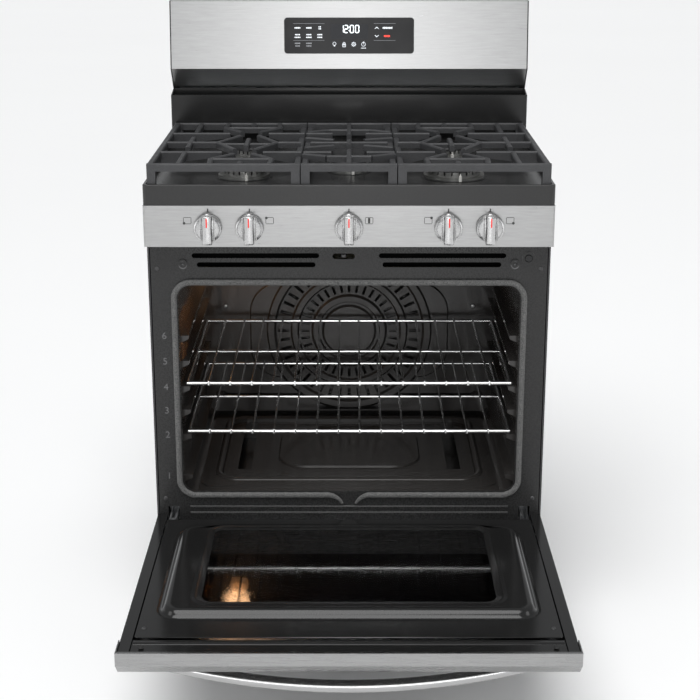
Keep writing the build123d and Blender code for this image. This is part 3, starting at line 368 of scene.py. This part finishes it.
# ---------------------------------------------------------------- pressed panels
# profiles as (outward offset, rise) pairs in millimetres
PRESSED_FOOT = ((8, 0), (7, 0), (5, -0.8), (2, -0.8), (0, 0.5), (-3, 5), (-6, 9), (-9, 11.2),
                (-12.5, 12), (-18, 12))
WINDOW_BEAD = ((20, 12), (18, 12), (15, 12.9), (11, 12.9), (7, 12), (3, 11.2), (0, 9.9), (0, 9.7), (12, 10))
FLOOR_BEAD = ((7, 0), (5, 2.2), (2, 3.6), (-2, 3.6), (-5, 2.2), (-7, 0), (-7, -1), (7, -1))
LINER_SHEET = 2
PLATEAU_HALF, PLATEAU_FROM_LIP, PLATEAU_FROM_HINGE, PLATEAU_CORNER = 0.321, 66 * MM, 46 * MM, 34 * MM
PANE_OVERLAP, PANE_CORNER, LINER_CORNER = 8 * MM, 20 * MM, 6 * MM
DISH_HALF, DISH_FROM_FRONT, DISH_FROM_REAR, DISH_CORNER = 0.268, 36 * MM, 20 * MM, 42 * MM
DUCT_X, DUCT_Z, DUCT_WIDTH, DUCT_HEIGHT, DUCT_SHEET = 0.176, 0.742, 0.252, 36 * MM, 1.2 * MM


def make_door_panel():
    """Door liner pressing: flat flange, rounded plateau, and a soft bead round the window."""
    low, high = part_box("door_inner_panel")
    pane_low, pane_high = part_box("door_inner_glass")
    flange = low.z + LINER_SHEET * MM
    edge = 0.6 * MM

    def border(inset, z):
        return rounded_outline(high.x - inset, low.y + inset, high.y - inset, LINER_CORNER, z)

    def plateau(offset, rise):
        grow = offset * MM
        return rounded_outline(PLATEAU_HALF + grow, low.y + PLATEAU_FROM_LIP - grow,
                               high.y - PLATEAU_FROM_HINGE + grow, PLATEAU_CORNER + grow,
                               flange + rise * MM)

    def window(offset, rise):
        grow = offset * MM
        return rounded_outline(pane_high.x - PANE_OVERLAP + grow, pane_low.y + PANE_OVERLAP - grow,
                               pane_high.y - PANE_OVERLAP + grow, PANE_CORNER + grow,
                               flange + rise * MM)

    outlines = [border(0, flange - 1 * MM), border(edge, flange), border(2 * MM, flange)]
    outlines += [plateau(*pair) for pair in PRESSED_FOOT]
    outlines += [window(*pair) for pair in WINDOW_BEAD]
    outlines += [plateau(offset, rise - LINER_SHEET) for offset, rise in reversed(PRESSED_FOOT)]
    outlines.append(border(edge, low.z))
    mesh = bmesh.new()
    skin(mesh, outlines, joined=True)
    piece("door_liner", mesh, DOOR_ENAMEL, DOOR, replaces=("door_inner_panel",))


def make_floor_bead():
    """Pressed bead round the dished part of the oven floor."""
    low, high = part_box("oven_floor_panel")
    mesh = bmesh.new()
    outlines = []
    for offset, rise in FLOOR_BEAD:
        grow = offset * MM
        outlines.append(rounded_outline(DISH_HALF + grow, low.y + DISH_FROM_FRONT - grow,
                                        high.y - DISH_FROM_REAR + grow, DISH_CORNER + grow,
                                        high.z + rise * MM))
    skin(mesh, outlines, joined=True)
    piece("floor_bead", mesh, OVEN_ENAMEL, ROOT)


def make_vent_duct():
    """Sheet duct behind the slots over the oven; its near-black matte colour is painted shade seen through
    the slots.
    """
    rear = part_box("front_frame")[1].y
    mesh = bmesh.new()
    for side in (-1, 1):
        add_block(mesh, Vector((side * DUCT_X, rear + 9 * MM, DUCT_Z)), (DUCT_WIDTH, DUCT_SHEET, DUCT_HEIGHT))
        for lift in (-17.5, 17.5):
            add_block(mesh, Vector((side * DUCT_X, rear + 5 * MM, DUCT_Z + lift * MM)),
                      (DUCT_WIDTH, 7 * MM, DUCT_SHEET))
    piece("vent_duct_painted_shade", mesh, DUCT_PAINTED_SHADE, ROOT, smooth=False, bevel=0.3 * MM)


# ---------------------------------------------------------------- display
GUARD_SLOPE = math.atan2(18, 140)
DISPLAY_CENTRE = sum(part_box("display_glass"), Vector()) / 2
DISPLAY_TURN = Matrix.Rotation(-GUARD_SLOPE, 4, "X")
DISPLAY_OUT = Vector((0, -math.cos(GUARD_SLOPE), math.sin(GUARD_SLOPE)))
DISPLAY_UP = Vector((0, math.sin(GUARD_SLOPE), math.cos(GUARD_SLOPE)))
SEGMENTS = {"0": "abcdef", "1": "bc", "2": "abged"}
# millimetres across and up from the centre of the glass
MARK_LIFT, MARK_DEPTH, FIELD_LIFT, FIELD_DEPTH = 1.15, 0.25, 0.95, 0.2
FIGURE_WIDTH, FIGURE_HEIGHT, FIGURE_LINE = 7.0, 15.0, 1.5
CLOCK_UP, CLOCK_FIGURES, CLOCK_COLON = 13.7, (-15.5, -6.3, 5.8, 17), -0.4
ICONS_UP, BULB_X, LOCK_X, GEAR_X, TIMER_X = -18, -31, -10.6, 9.8, 30.4
KEY_COLUMNS, START_X, OFF_X, CHEVRON_X = (-109, -85, -62), 81, 80, 58.4
START_UP, OFF_UP = 16, -1


def on_display(x, up, lift=MARK_LIFT):
    """A point on the display glass, from its centre, in millimetres."""
    return DISPLAY_CENTRE + Vector((x * MM, 0, 0)) + DISPLAY_UP * up * MM + DISPLAY_OUT * lift * MM


def display_bar(mesh, x, up, width, height, turn=0.0):
    """One flat mark on the glass."""
    add_block(mesh, on_display(x, up), (width * MM, MARK_DEPTH * MM, height * MM),
              DISPLAY_TURN @ Matrix.Rotation(math.radians(turn), 4, "Y"))


def digit(mesh, figure, x, up):
    """One seven-segment figure."""
    half, quarter, side, line = FIGURE_HEIGHT / 2, FIGURE_HEIGHT / 4, FIGURE_WIDTH / 2, FIGURE_LINE
    places = {"a": (0, half, 1), "g": (0, 0, 1), "d": (0, -half, 1), "f": (-side, quarter, 0),
              "b": (side, quarter, 0), "e": (-side, -quarter, 0), "c": (side, -quarter, 0)}
    for name in SEGMENTS[figure]:
        dx, dz, flat = places[name]
        size = (FIGURE_WIDTH - line, line) if flat else (line, half - line)
        display_bar(mesh, x + dx, up + dz, *size)


def display_ring(mesh, x, up, radius, line, sides, spokes=0):
    """A round outline of short bars, with teeth if asked for."""
    for k in range(sides):
        angle = 2 * math.pi * k / sides
        display_bar(mesh, x + radius * math.cos(angle), up + radius * math.sin(angle),
                    line, 2.2 * math.pi * radius / sides, -math.degrees(angle))
    for k in range(spokes):
        angle = 2 * math.pi * k / spokes
        display_bar(mesh, x + (radius + 1) * math.cos(angle), up + (radius + 1) * math.sin(angle),
                    1.4, 1.1, -math.degrees(angle))


def display_label(mesh, x, up, width, height=2.8):
    """A key label as a run of small blank blocks."""
    count = max(2, round(width / 2.7))
    pitch = width / count
    for k in range(count):
        display_bar(mesh, x - width / 2 + pitch * (k + 0.5), up, pitch - 0.7, height * (0.8 + 0.2 * (k % 2)))


def display_chevron(mesh, x, up, side):
    """An up or down arrow head."""
    for tilt in (-1, 1):
        display_bar(mesh, x + tilt * 1.9, up, 5.6, 1.2, side * tilt * 42)


def make_icons(mesh):
    """Bulb, padlock, gear and timer under the clock."""
    up = ICONS_UP
    display_ring(mesh, BULB_X, up + 1, 3.3, 0.8, 16)
    display_bar(mesh, BULB_X, up - 3.6, 2.8, 1.6)
    display_ring(mesh, LOCK_X, up + 1.6, 2.5, 0.8, 14)
    display_ring(mesh, LOCK_X, up - 2.2, 3.1, 1.0, 4)
    display_bar(mesh, LOCK_X, up - 2, 1.2, 2.4)
    display_ring(mesh, GEAR_X, up, 3.4, 0.8, 16, 8)
    display_ring(mesh, GEAR_X, up, 1.2, 0.7, 10)
    display_ring(mesh, TIMER_X, up, 4.0, 0.8, 18)
    display_bar(mesh, TIMER_X, up + 1.5, 0.8, 3.2)
    display_bar(mesh, TIMER_X, up + 5, 2.2, 1.0)
    display_label(mesh, TIMER_X, up - 8, 11, 1.6)


def make_display():
    """Clock figures, plain icons, chevrons and unlettered key labels."""
    field = bmesh.new()
    add_block(field, on_display(0.5, 8.5, FIELD_LIFT), (79 * MM, FIELD_DEPTH * MM, 31 * MM), DISPLAY_TURN)
    piece("clock_field", field, DISPLAY_FIELD, ROOT, smooth=False)
    lit = bmesh.new()
    for figure, x in zip("1200", CLOCK_FIGURES):
        digit(lit, figure, x, CLOCK_UP)
    for up in (CLOCK_UP - 3, CLOCK_UP + 3):
        display_bar(lit, CLOCK_COLON, up, 1.3, 1.3)
    piece("clock_figures", lit, WHITE_GLOW, ROOT, smooth=False)
    soft = bmesh.new()
    for column, x in enumerate(KEY_COLUMNS):
        if column < 2:
            display_label(soft, x, START_UP, 13 - column, 3.4)
        else:
            for up in (START_UP + 2, START_UP - 2):
                display_label(soft, x, up, 6, 2.6)
        display_label(soft, x, 2, 11)
        display_label(soft, x, -3.6, 13 - column)
    display_chevron(soft, CHEVRON_X, START_UP, 1)
    display_chevron(soft, CHEVRON_X, OFF_UP, -1)
    display_label(soft, START_X, START_UP, 21, 4.2)
    make_icons(soft)
    piece("display_labels", soft, SOFT_GLOW, ROOT, smooth=False)
    dim = bmesh.new()
    for x, width in ((-85, 66), (75, 46)):
        for up in (25, -10):
            display_bar(dim, x, up, width, 0.5)
    for column, x in enumerate(KEY_COLUMNS[:2]):
        display_label(dim, x, -16, 12)
        display_label(dim, x, -21.5, 10 + column)
    piece("display_faint_marks", dim, DIM_GLOW, ROOT, smooth=False)
    red = bmesh.new()
    display_label(red, OFF_X, OFF_UP, 13, 4.0)
    piece("display_off_mark", red, RED_GLOW, ROOT, smooth=False)


# ---------------------------------------------------------------- knobs and panel marks
# metres, apart from RIDGES, TICK_SIZE and DIAGRAM_SIDES, which are in millimetres
PANEL_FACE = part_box("control_panel")[0].y
KNOB_GAP, DISC_DEPTH = 3.5 * MM, 12 * MM
GRIP_HALF, GRIP_SPREAD, GRIP_CURVE, GRIP_STEPS = 8.4 * MM, 0.8 * MM, 1.8 * MM, 26
RIDGES = ((10.9, 45, 8), (13.3, 42, 4.5))
DOME_RADIUS, DOME_TIP, DOME_DEPTH = 8.6 * MM, 7.6 * MM, 8 * MM
POINTER_SIZE, POINTER_UP = (2.6 * MM, 0.5 * MM, 17 * MM), 15 * MM
TICK_SIZE, TICK_UP = (2.0, 6), 5.5 * MM
DIAGRAM_SIDES = ((-7, 0, 1, 11), (7, 0, 1, 11), (0, 6, 13, 1), (0, -6, 13, 1))


def grip_section(half, crown, face):
    """The grip's outline at one height, as (across, y) points with rounded front corners."""
    outline = [(half + GRIP_SPREAD, face + 1 * MM), (half, crown + GRIP_CURVE),
               (half - GRIP_CURVE * 0.35, crown + GRIP_CURVE * 0.3), (half - GRIP_CURVE, crown)]
    return [(-x, y) for x, y in outline] + [(0, crown - 0.5 * MM)] + outline[::-1]


def make_knob(number):
    """Turned disc, crowned grip, side ridges, dome and a red pointer."""
    body = f"knob_{number}"
    low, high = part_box(body)
    centre_x, centre_z = (low.x + high.x) / 2, (low.z + high.z) / 2
    front, back = low.y, PANEL_FACE - KNOB_GAP
    radius = (high.x - low.x) / 2
    face = back - DISC_DEPTH
    disc = bmesh.new()
    rim = [(back, radius - 2 * MM), (back, radius - 0.4 * MM), (back - 1 * MM, radius),
           (face + 3.4 * MM, radius), (face + 1.2 * MM, radius - 0.9 * MM), (face, radius - 3.2 * MM),
           (face + 1.0 * MM, radius - 4.4 * MM), (face + 0.2 * MM, radius - 6 * MM),
           (face - 0.6 * MM, 2 * MM)]
    skin(disc, turned(Vector((centre_x, 0, centre_z)), rim, 80))
    piece(f"knob_disc_{number}", disc, KNOB_STEEL, body)
    grip = bmesh.new()
    half_high = radius + 0.6 * MM
    sections = []
    for k in range(GRIP_STEPS + 1):
        t = -1 + 2 * k / GRIP_STEPS
        z = centre_z + half_high * t
        half = GRIP_HALF * (1 - 0.10 * (1 - abs(t)))
        crown = front + (1.6 * MM if k in (0, GRIP_STEPS) else 0.6 * MM * abs(t) ** 6)
        sections.append([(centre_x + x, y, z) for x, y in grip_section(half, crown, face)])
    skin(grip, sections)
    piece(f"knob_grip_{number}", grip, KNOB_STEEL, body, bevel=0.5 * MM)
    ridges = bmesh.new()
    for side in (-1, 1):
        for offset, tall, deep in RIDGES:
            add_block(ridges, Vector((centre_x + side * offset * MM, face - deep * MM / 2, centre_z)),
                      (1.3 * MM, deep * MM, tall * MM))
    piece(f"knob_ridges_{number}", ridges, KNOB_STEEL, body, bevel=0.3 * MM)
    stem = bmesh.new()
    add_disc(stem, Vector((centre_x, (back + high.y) / 2, centre_z)), 4 * MM, high.y - back, "Y", 32)
    piece(f"knob_stem_{number}", stem, PIPE, body, bevel=0.4 * MM, replaces=(body,))
    dome = bmesh.new()
    add_disc(dome, Vector((centre_x, face + 3 * MM, centre_z + radius - 5 * MM)), DOME_RADIUS, DOME_DEPTH,
             "Y", 40, DOME_TIP)
    piece(f"knob_dome_{number}", dome, KNOB_STEEL, body, bevel=0.8 * MM)
    pointer = bmesh.new()
    add_block(pointer, Vector((centre_x, front - 0.55 * MM, centre_z + POINTER_UP)), POINTER_SIZE)
    piece(f"knob_pointer_{number}", pointer, RED_PAINT, body, bevel=0.15 * MM)


def panel_mark(mesh, x, z, width, height):
    """One printed mark on the control panel, its size in millimetres."""
    add_block(mesh, Vector((x, PANEL_FACE - 0.12 * MM, z)), (width * MM, 0.2 * MM, height * MM))


def make_panel_marks():
    """Index ticks over the knobs and small burner-place diagrams between them."""
    mesh = bmesh.new()
    centres = []
    for number in range(1, 6):
        low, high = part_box(f"knob_{number}")
        centres.append((low.x + high.x) / 2)
        panel_mark(mesh, centres[-1], high.z + TICK_UP, *TICK_SIZE)
    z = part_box("knob_1")[1].z - 14 * MM
    spots = ((centres[0] - 38 * MM, -1, -1), (centres[1] + 37 * MM, -1, 1), (centres[2] + 37 * MM, 0, 0),
             (centres[3] - 37 * MM, 1, 1), (centres[4] + 37 * MM, 1, -1))
    for x, across, along in spots:
        for dx, dz, width, height in DIAGRAM_SIDES:
            panel_mark(mesh, x + dx * MM, z + dz * MM, width, height)
        if across == 0:
            panel_mark(mesh, x, z, 4, 10)
        else:
            add_disc(mesh, Vector((x + across * 6 * MM, PANEL_FACE - 0.13 * MM, z + along * 5 * MM)),
                     2.5 * MM, 0.2 * MM, "Y", 20)
    piece("panel_marks", mesh, BLACK_INK, ROOT, smooth=False)


# ---------------------------------------------------------------- gasket and handle
GASKET_HALF_WIDTH, GASKET_CORNER, GASKET_STEP, GASKET_SIDES = 5.8 * MM, 32 * MM, 4 * MM, 14
GASKET_CURL = ((40, 0), (33, -1.2), (26, -4), (20, -8.5), (15.5, -13.5), (13, -18))
HANDLE_DEEP, HANDLE_TALL, HANDLE_SQUARE = 12.2 * MM, 8 * MM, 0.62
HANDLE_STEPS, HANDLE_SIDES = 72, 28


def rounded_loop(half, bottom, top, corner, y):
    """Evenly spaced points round a rounded rectangle in XZ, starting at its bottom centre."""
    centres = ((half - corner, bottom + corner, -90), (half - corner, top - corner, 0),
               (-half + corner, top - corner, 90), (-half + corner, bottom + corner, 180))
    outline = [Vector((0, y, bottom))]
    for x, z, start in centres:
        for k in range(CORNER_STEPS + 1):
            angle = math.radians(start + 90 * k / CORNER_STEPS)
            outline.append(Vector((x + corner * math.cos(angle), y, z + corner * math.sin(angle))))
    outline.append(Vector((0, y, bottom)))
    points = [outline[0]]
    for target in outline[1:]:
        while (target - points[-1]).length > GASKET_STEP:
            points.append(points[-1] + (target - points[-1]).normalized() * GASKET_STEP)
    return points


def make_gasket():
    """Braided rope whose two ends curl down behind the frame at the bottom centre."""
    low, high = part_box("oven_gasket")
    radius = (high.y - low.y) / 2
    width = GASKET_HALF_WIDTH
    loop = rounded_loop(high.x - width, low.z + width, high.z - width, GASKET_CORNER, high.y - radius)
    path = [p for p in loop if not (abs(p.x) < 43 * MM and p.z < low.z + 20 * MM)]
    start = [Vector((x * MM, path[0].y, path[0].z + z * MM)) for x, z in reversed(GASKET_CURL)]
    finish = [Vector((-x * MM, path[-1].y, path[-1].z + z * MM)) for x, z in GASKET_CURL]
    path = start + path + finish
    last = len(path) - 1
    mesh = bmesh.new()

    def ring(index, point, along):
        across = along.cross(Vector((0, 1, 0))).normalized()
        points = []
        for k in range(GASKET_SIDES):
            angle = 2 * math.pi * k / GASKET_SIDES
            wave = 1 + 0.05 * math.sin(3 * angle + index * 1.3) + 0.04 * math.sin(3 * angle - index * 1.3)
            wave *= min(1.0, 0.4 + 0.13 * min(index, last - index))
            points.append(point + across * math.cos(angle) * width * wave * 0.96
                          + Vector((0, 1, 0)) * math.sin(angle) * radius * wave * 0.9)
        return points

    sweep(mesh, path, ring)
    piece("gasket_rope", mesh, GASKET, ROOT, replaces=("oven_gasket",))


def make_handle():
    """Bowed bar with soft edges, its two ends flat against the door."""
    low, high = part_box("door_handle")
    face, drop = high.z, high.z - low.z
    half, middle_y = high.x - 6 * MM, (low.y + high.y) / 2
    path = []
    for k in range(HANDLE_STEPS + 1):
        t = -1 + 2 * k / HANDLE_STEPS
        centre = face + 5 * MM - (drop - 3 * MM) * (1 - t * t)
        path.append(Vector((half * t, middle_y, centre)))
    mesh = bmesh.new()

    def ring(index, point, along):
        up = along.cross(Vector((0, 1, 0))).normalized()
        points = []
        for k in range(HANDLE_SIDES):
            angle = 2 * math.pi * k / HANDLE_SIDES
            c, s = math.cos(angle), math.sin(angle)
            points.append(point + Vector((0, 1, 0)) * HANDLE_DEEP * math.copysign(abs(c) ** HANDLE_SQUARE, c)
                          + up * HANDLE_TALL * math.copysign(abs(s) ** HANDLE_SQUARE, s))
        return points

    sweep(mesh, path, ring)
    for vertex in mesh.verts:
        vertex.co.z = min(vertex.co.z, face + 0.2 * MM)
    piece("handle_bow", mesh, HANDLE_STEEL, DOOR, replaces=("door_handle",))


# ---------------------------------------------------------------- screws, bumpers, numbers
SCREW_RADIUS, SCREW_SIDES, RECESS_HEIGHT = 4.2 * MM, 24, 1.55 * MM
# heights in millimetres, and shares of the radius
SCREW_HEAD = ((0, 1.0), (0.5, 1.0), (1.1, 0.86), (1.5, 0.6), (1.6, 0.3))
FRAME_SCREW_X, FRAME_SCREW_HEIGHTS = 0.3605, (("upper", 0.7256), ("lower", 0.259))
COVER_SCREW_X, COVER_SCREW_Z = 0.276, 0.513
DOOR_SCREW_X, DOOR_SCREW_Z = 0.341, 0.231
REAR_SCREW_X, REAR_SCREW_HEIGHTS = 0.362, (0.10, 0.40, 0.70)
FRAME_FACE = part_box("front_frame")[0].y + 3.5 * MM
BUMPER_X, STOP_X, STOP_Z, RING_SIDES = 0.338, 0.312, 0.733, 48
STOP_RADIUS, BEZEL_RADIUS, RING_WIDTH = 8 * MM, 13 * MM, 2.4 * MM
STOP_BUTTON = ((0.6 * MM, 2.6 * MM), (-1.0 * MM, 2.6 * MM), (-1.8 * MM, 2.0 * MM), (-2.0 * MM, 0.8 * MM))
RACK_NUMBER_X, RACK_NUMBER_SIZE, RACK_NUMBER_DEPTH = -0.352, 19 * MM, 0.5 * MM
RACK_NUMBER_HEIGHTS = (0.306, 0.392, 0.442, 0.490, 0.542, 0.593)
FOOT_SIZE = (13 * MM, 11 * MM, 3.8 * MM)


def make_screw(name, centre, out, body, material):
    """Domed cross-recess screw head, facing along out."""
    mesh = bmesh.new()
    place = Matrix.Translation(centre) @ UP.rotation_difference(out).to_matrix().to_4x4()
    angles = [2 * math.pi * k / SCREW_SIDES for k in range(SCREW_SIDES)]
    skin(mesh, [[place @ Vector((SCREW_RADIUS * size * math.cos(a), SCREW_RADIUS * size * math.sin(a),
                                 height * MM)) for a in angles] for height, size in SCREW_HEAD])
    for angle in (0, math.pi / 2):
        bar = place @ Matrix.Translation((0, 0, RECESS_HEIGHT)) @ Matrix.Rotation(angle, 4, "Z")
        across = Matrix.Diagonal((SCREW_RADIUS * 1.1, SCREW_RADIUS * 0.26, 0.3 * MM, 1))
        bmesh.ops.create_cube(mesh, size=1.0, matrix=bar @ across)
    piece(name, mesh, material, body)


def make_fasteners():
    """Screws of the front frame, oven, door and rear."""
    cover_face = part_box("convection_cover")[0].y + 7 * MM
    door_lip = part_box("door_inner_panel")[0].y
    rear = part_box("rear_panel")[1].y
    for side, word in SIDES:
        for level, z in FRAME_SCREW_HEIGHTS:
            make_screw(f"frame_screw_{level}_{word}", Vector((side * FRAME_SCREW_X, FRAME_FACE, z)), FRONT,
                       ROOT, DARK_SCREW)
        make_screw(f"cover_screw_{word}", Vector((side * COVER_SCREW_X, cover_face, COVER_SCREW_Z)), FRONT,
                   ROOT, SCREW)
        make_screw(f"door_screw_{word}", Vector((side * DOOR_SCREW_X, door_lip + 30 * MM, DOOR_SCREW_Z)), UP,
                   DOOR, DARK_SCREW)
        for k, z in enumerate(REAR_SCREW_HEIGHTS):
            make_screw(f"rear_screw_{word}_{k}", Vector((side * REAR_SCREW_X, rear, z)), -FRONT,
                       ROOT, SCREW)


def make_bumpers():
    """Rubber buttons on the door's inner corners."""
    trim_low, trim_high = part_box("door_top_trim")
    for side, word in SIDES:
        mesh = bmesh.new()
        add_disc(mesh, Vector((side * BUMPER_X, trim_low.y + 22 * MM, trim_high.z + 1.2 * MM)), 5 * MM,
                 2.4 * MM, "Z", 28, 3.6 * MM)
        piece(f"door_bumper_{word}", mesh, RUBBER, DOOR, bevel=0.5 * MM)


def make_frame_rings():
    """Stop buttons in the top corners of the front frame, and the bezel of the lamp switch."""
    low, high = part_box("light_switch")
    places = (("left", -STOP_X, STOP_Z, STOP_RADIUS), ("right", STOP_X, STOP_Z, STOP_RADIUS),
              ("switch", (low.x + high.x) / 2, (low.z + high.z) / 2, BEZEL_RADIUS))
    for word, x, z, radius in places:
        middle = Vector((x, FRAME_FACE + 0.1 * MM, z))
        outer, inner = radius, radius - RING_WIDTH
        profile = ((0.6 * MM, outer), (-0.8 * MM, outer), (-1.3 * MM, outer - 0.6 * MM),
                   (-1.3 * MM, inner + 0.6 * MM), (-0.8 * MM, inner), (0.6 * MM, inner))
        ring = bmesh.new()
        skin(ring, turned(middle, profile, RING_SIDES), joined=True)
        piece(f"frame_ring_{word}", ring, EMBOSS, ROOT)
        if word != "switch":
            button = bmesh.new()
            skin(button, turned(middle, STOP_BUTTON, 24))
            piece(f"frame_button_{word}", button, EMBOSS, ROOT)


def make_rack_numbers():
    """Raised rack-level numbers on the left of the front frame."""
    for number, z in zip("123456", RACK_NUMBER_HEIGHTS):
        curve = bpy.data.curves.new("rack_number_" + number, "FONT")
        curve.body, curve.size, curve.extrude = number, RACK_NUMBER_SIZE, RACK_NUMBER_DEPTH
        curve.align_x, curve.align_y = "CENTER", "CENTER"
        text = bpy.data.objects.new("rack_number_" + number, curve)
        bpy.context.scene.collection.objects.link(text)
        text.location = (RACK_NUMBER_X, FRAME_FACE - 0.3 * MM, z)
        text.rotation_euler = (math.pi / 2, 0, 0)
        curve.materials.append(EMBOSS)
        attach(text, ROOT)


def make_grate_feet():
    """Rubber foot under each grate leg."""
    for word in ("left", "centre", "right"):
        low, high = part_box("grate_" + word)
        mesh = bmesh.new()
        for x in (low.x + 8 * MM, high.x - 8 * MM):
            for y in (low.y + 7 * MM, high.y - 7 * MM):
                add_block(mesh, Vector((x, y, low.z - FOOT_SIZE[2] / 2)), FOOT_SIZE)
        piece(f"grate_feet_{word}", mesh, RUBBER, "grate_" + word, bevel=0.8 * MM)


# ---------------------------------------------------------------- floor, light and camera
FLOOR_RADIUS, FLOOR_DROP = 60.0, 0.0005
# the world's strength goes from WORLD_LOW at the horizon to WORLD_HIGH above
WORLD_COLOUR, WORLD_LOW, WORLD_HIGH, WORLD_HEIGHTS = (0.97, 0.985, 1.0, 1.0), 0.96, 0.36, (0.07, 0.3)
SUN_POWER, SUN_SPREAD, SUN_TURN = 2.4, math.radians(50), (math.radians(24), math.radians(-8), 0)
FILL_X, FILL_SIZE, FILL_POWER, STRIP_POWER = 3.0, (1.0, 2.2), 14, 26
BULB_POWER, BULB_COLOUR, BULB_RADIUS, BULB_FORWARD = 0.75, (1.0, 0.56, 0.28), 0.03, 0.07
CAMERA_PLACE, CAMERA_DOWN = (0.0019, -2.7199, 1.4321), 16.428
CAMERA_SENSOR, CAMERA_LENS, CAMERA_SHIFT, CAMERA_REACH = 36.0, 76.41, -0.05, 120


def make_floor():
    """Pale floor that is not part of the object."""
    mesh = bmesh.new()
    bmesh.ops.create_circle(mesh, cap_ends=True, segments=96, radius=FLOOR_RADIUS)
    data = bpy.data.meshes.new("studio_floor")
    mesh.to_mesh(data)
    mesh.free()
    surface = Surface("studio_floor", (0.9, 0.9, 0.9), 0.6)
    surface.tint(surface.noise(0.4), (0.89, 0.89, 0.89), (0.92, 0.92, 0.92))
    data.materials.append(surface.material)
    floor = bpy.data.objects.new("studio_floor", data)
    bpy.context.scene.collection.objects.link(floor)
    floor.location.z = -FLOOR_DROP


def area_light(name, place, target, size, power):
    """A soft box aimed at a point."""
    light = bpy.data.lights.new(name, "AREA")
    light.shape, light.size, light.size_y, light.energy = "RECTANGLE", *size, power
    lamp = bpy.data.objects.new(name, light)
    lamp.location = place
    lamp.rotation_euler = (Vector(target) - Vector(place)).to_track_quat("-Z", "Y").to_euler()
    bpy.context.scene.collection.objects.link(lamp)


def make_world():
    """Pale surroundings: white at the horizon, and dimmer above so that dark enamel stays dark."""
    world = bpy.data.worlds.new("studio")
    bpy.context.scene.world = world
    bpy.context.scene.view_settings.view_transform = "Standard"
    world.use_nodes = True
    nodes, links = world.node_tree.nodes, world.node_tree.links
    background = nodes["Background"]
    background.inputs["Color"].default_value = WORLD_COLOUR
    where = nodes.new("ShaderNodeTexCoord")
    parts = nodes.new("ShaderNodeSeparateXYZ")
    links.new(where.outputs["Generated"], parts.inputs["Vector"])
    ramp = nodes.new("ShaderNodeMapRange")
    for key, value in (("From Min", WORLD_HEIGHTS[0]), ("From Max", WORLD_HEIGHTS[1]),
                       ("To Min", WORLD_LOW), ("To Max", WORLD_HIGH)):
        ramp.inputs[key].default_value = value
    links.new(parts.outputs["Z"], ramp.inputs["Value"])
    links.new(ramp.outputs["Result"], background.inputs["Strength"])


def make_lights():
    """Broad soft sun from the front and above, a strip in front, side fills and the warm oven lamp."""
    aim = (0, 0.0, 0.6)
    sun = bpy.data.lights.new("key_soft", "SUN")
    sun.energy, sun.angle = SUN_POWER, SUN_SPREAD
    key = bpy.data.objects.new("key_soft", sun)
    key.rotation_euler = SUN_TURN
    bpy.context.scene.collection.objects.link(key)
    area_light("strip_front", (0.0, -3.8, 1.5), (0, 0, 0.8), (0.7, 2.4), STRIP_POWER)
    for side, word in SIDES:
        area_light("fill_" + word, (side * FILL_X, -1.4, 1.4), aim, FILL_SIZE, FILL_POWER)
    lamp_low, lamp_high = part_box("oven_lamp")
    bulb = bpy.data.lights.new("oven_bulb", "POINT")
    bulb.energy, bulb.color, bulb.shadow_soft_size = BULB_POWER, BULB_COLOUR, BULB_RADIUS
    glow = bpy.data.objects.new("oven_bulb", bulb)
    middle = (lamp_low + lamp_high) / 2
    glow.location = (middle.x, lamp_low.y - BULB_FORWARD, middle.z)
    glow.visible_glossy = False
    bpy.context.scene.collection.objects.link(glow)


def make_camera():
    """Camera in front, a little above the backguard, looking down at the open door."""
    data = bpy.data.cameras.new("camera")
    data.sensor_width, data.lens, data.shift_y = CAMERA_SENSOR, CAMERA_LENS, CAMERA_SHIFT
    data.clip_end = CAMERA_REACH
    camera = bpy.data.objects.new("camera", data)
    camera.location = CAMERA_PLACE
    camera.rotation_euler = (math.radians(90 - CAMERA_DOWN), 0, 0)
    bpy.context.scene.collection.objects.link(camera)
    bpy.context.scene.camera = camera


dress_nodes()
make_door_panel()
make_floor_bead()
make_vent_duct()
make_display()
for number in range(1, 6):
    make_knob(number)
make_panel_marks()
make_gasket()
make_handle()
make_fasteners()
make_bumpers()
make_frame_rings()
make_rack_numbers()
make_grate_feet()
make_floor()
make_world()
make_lights()
make_camera()
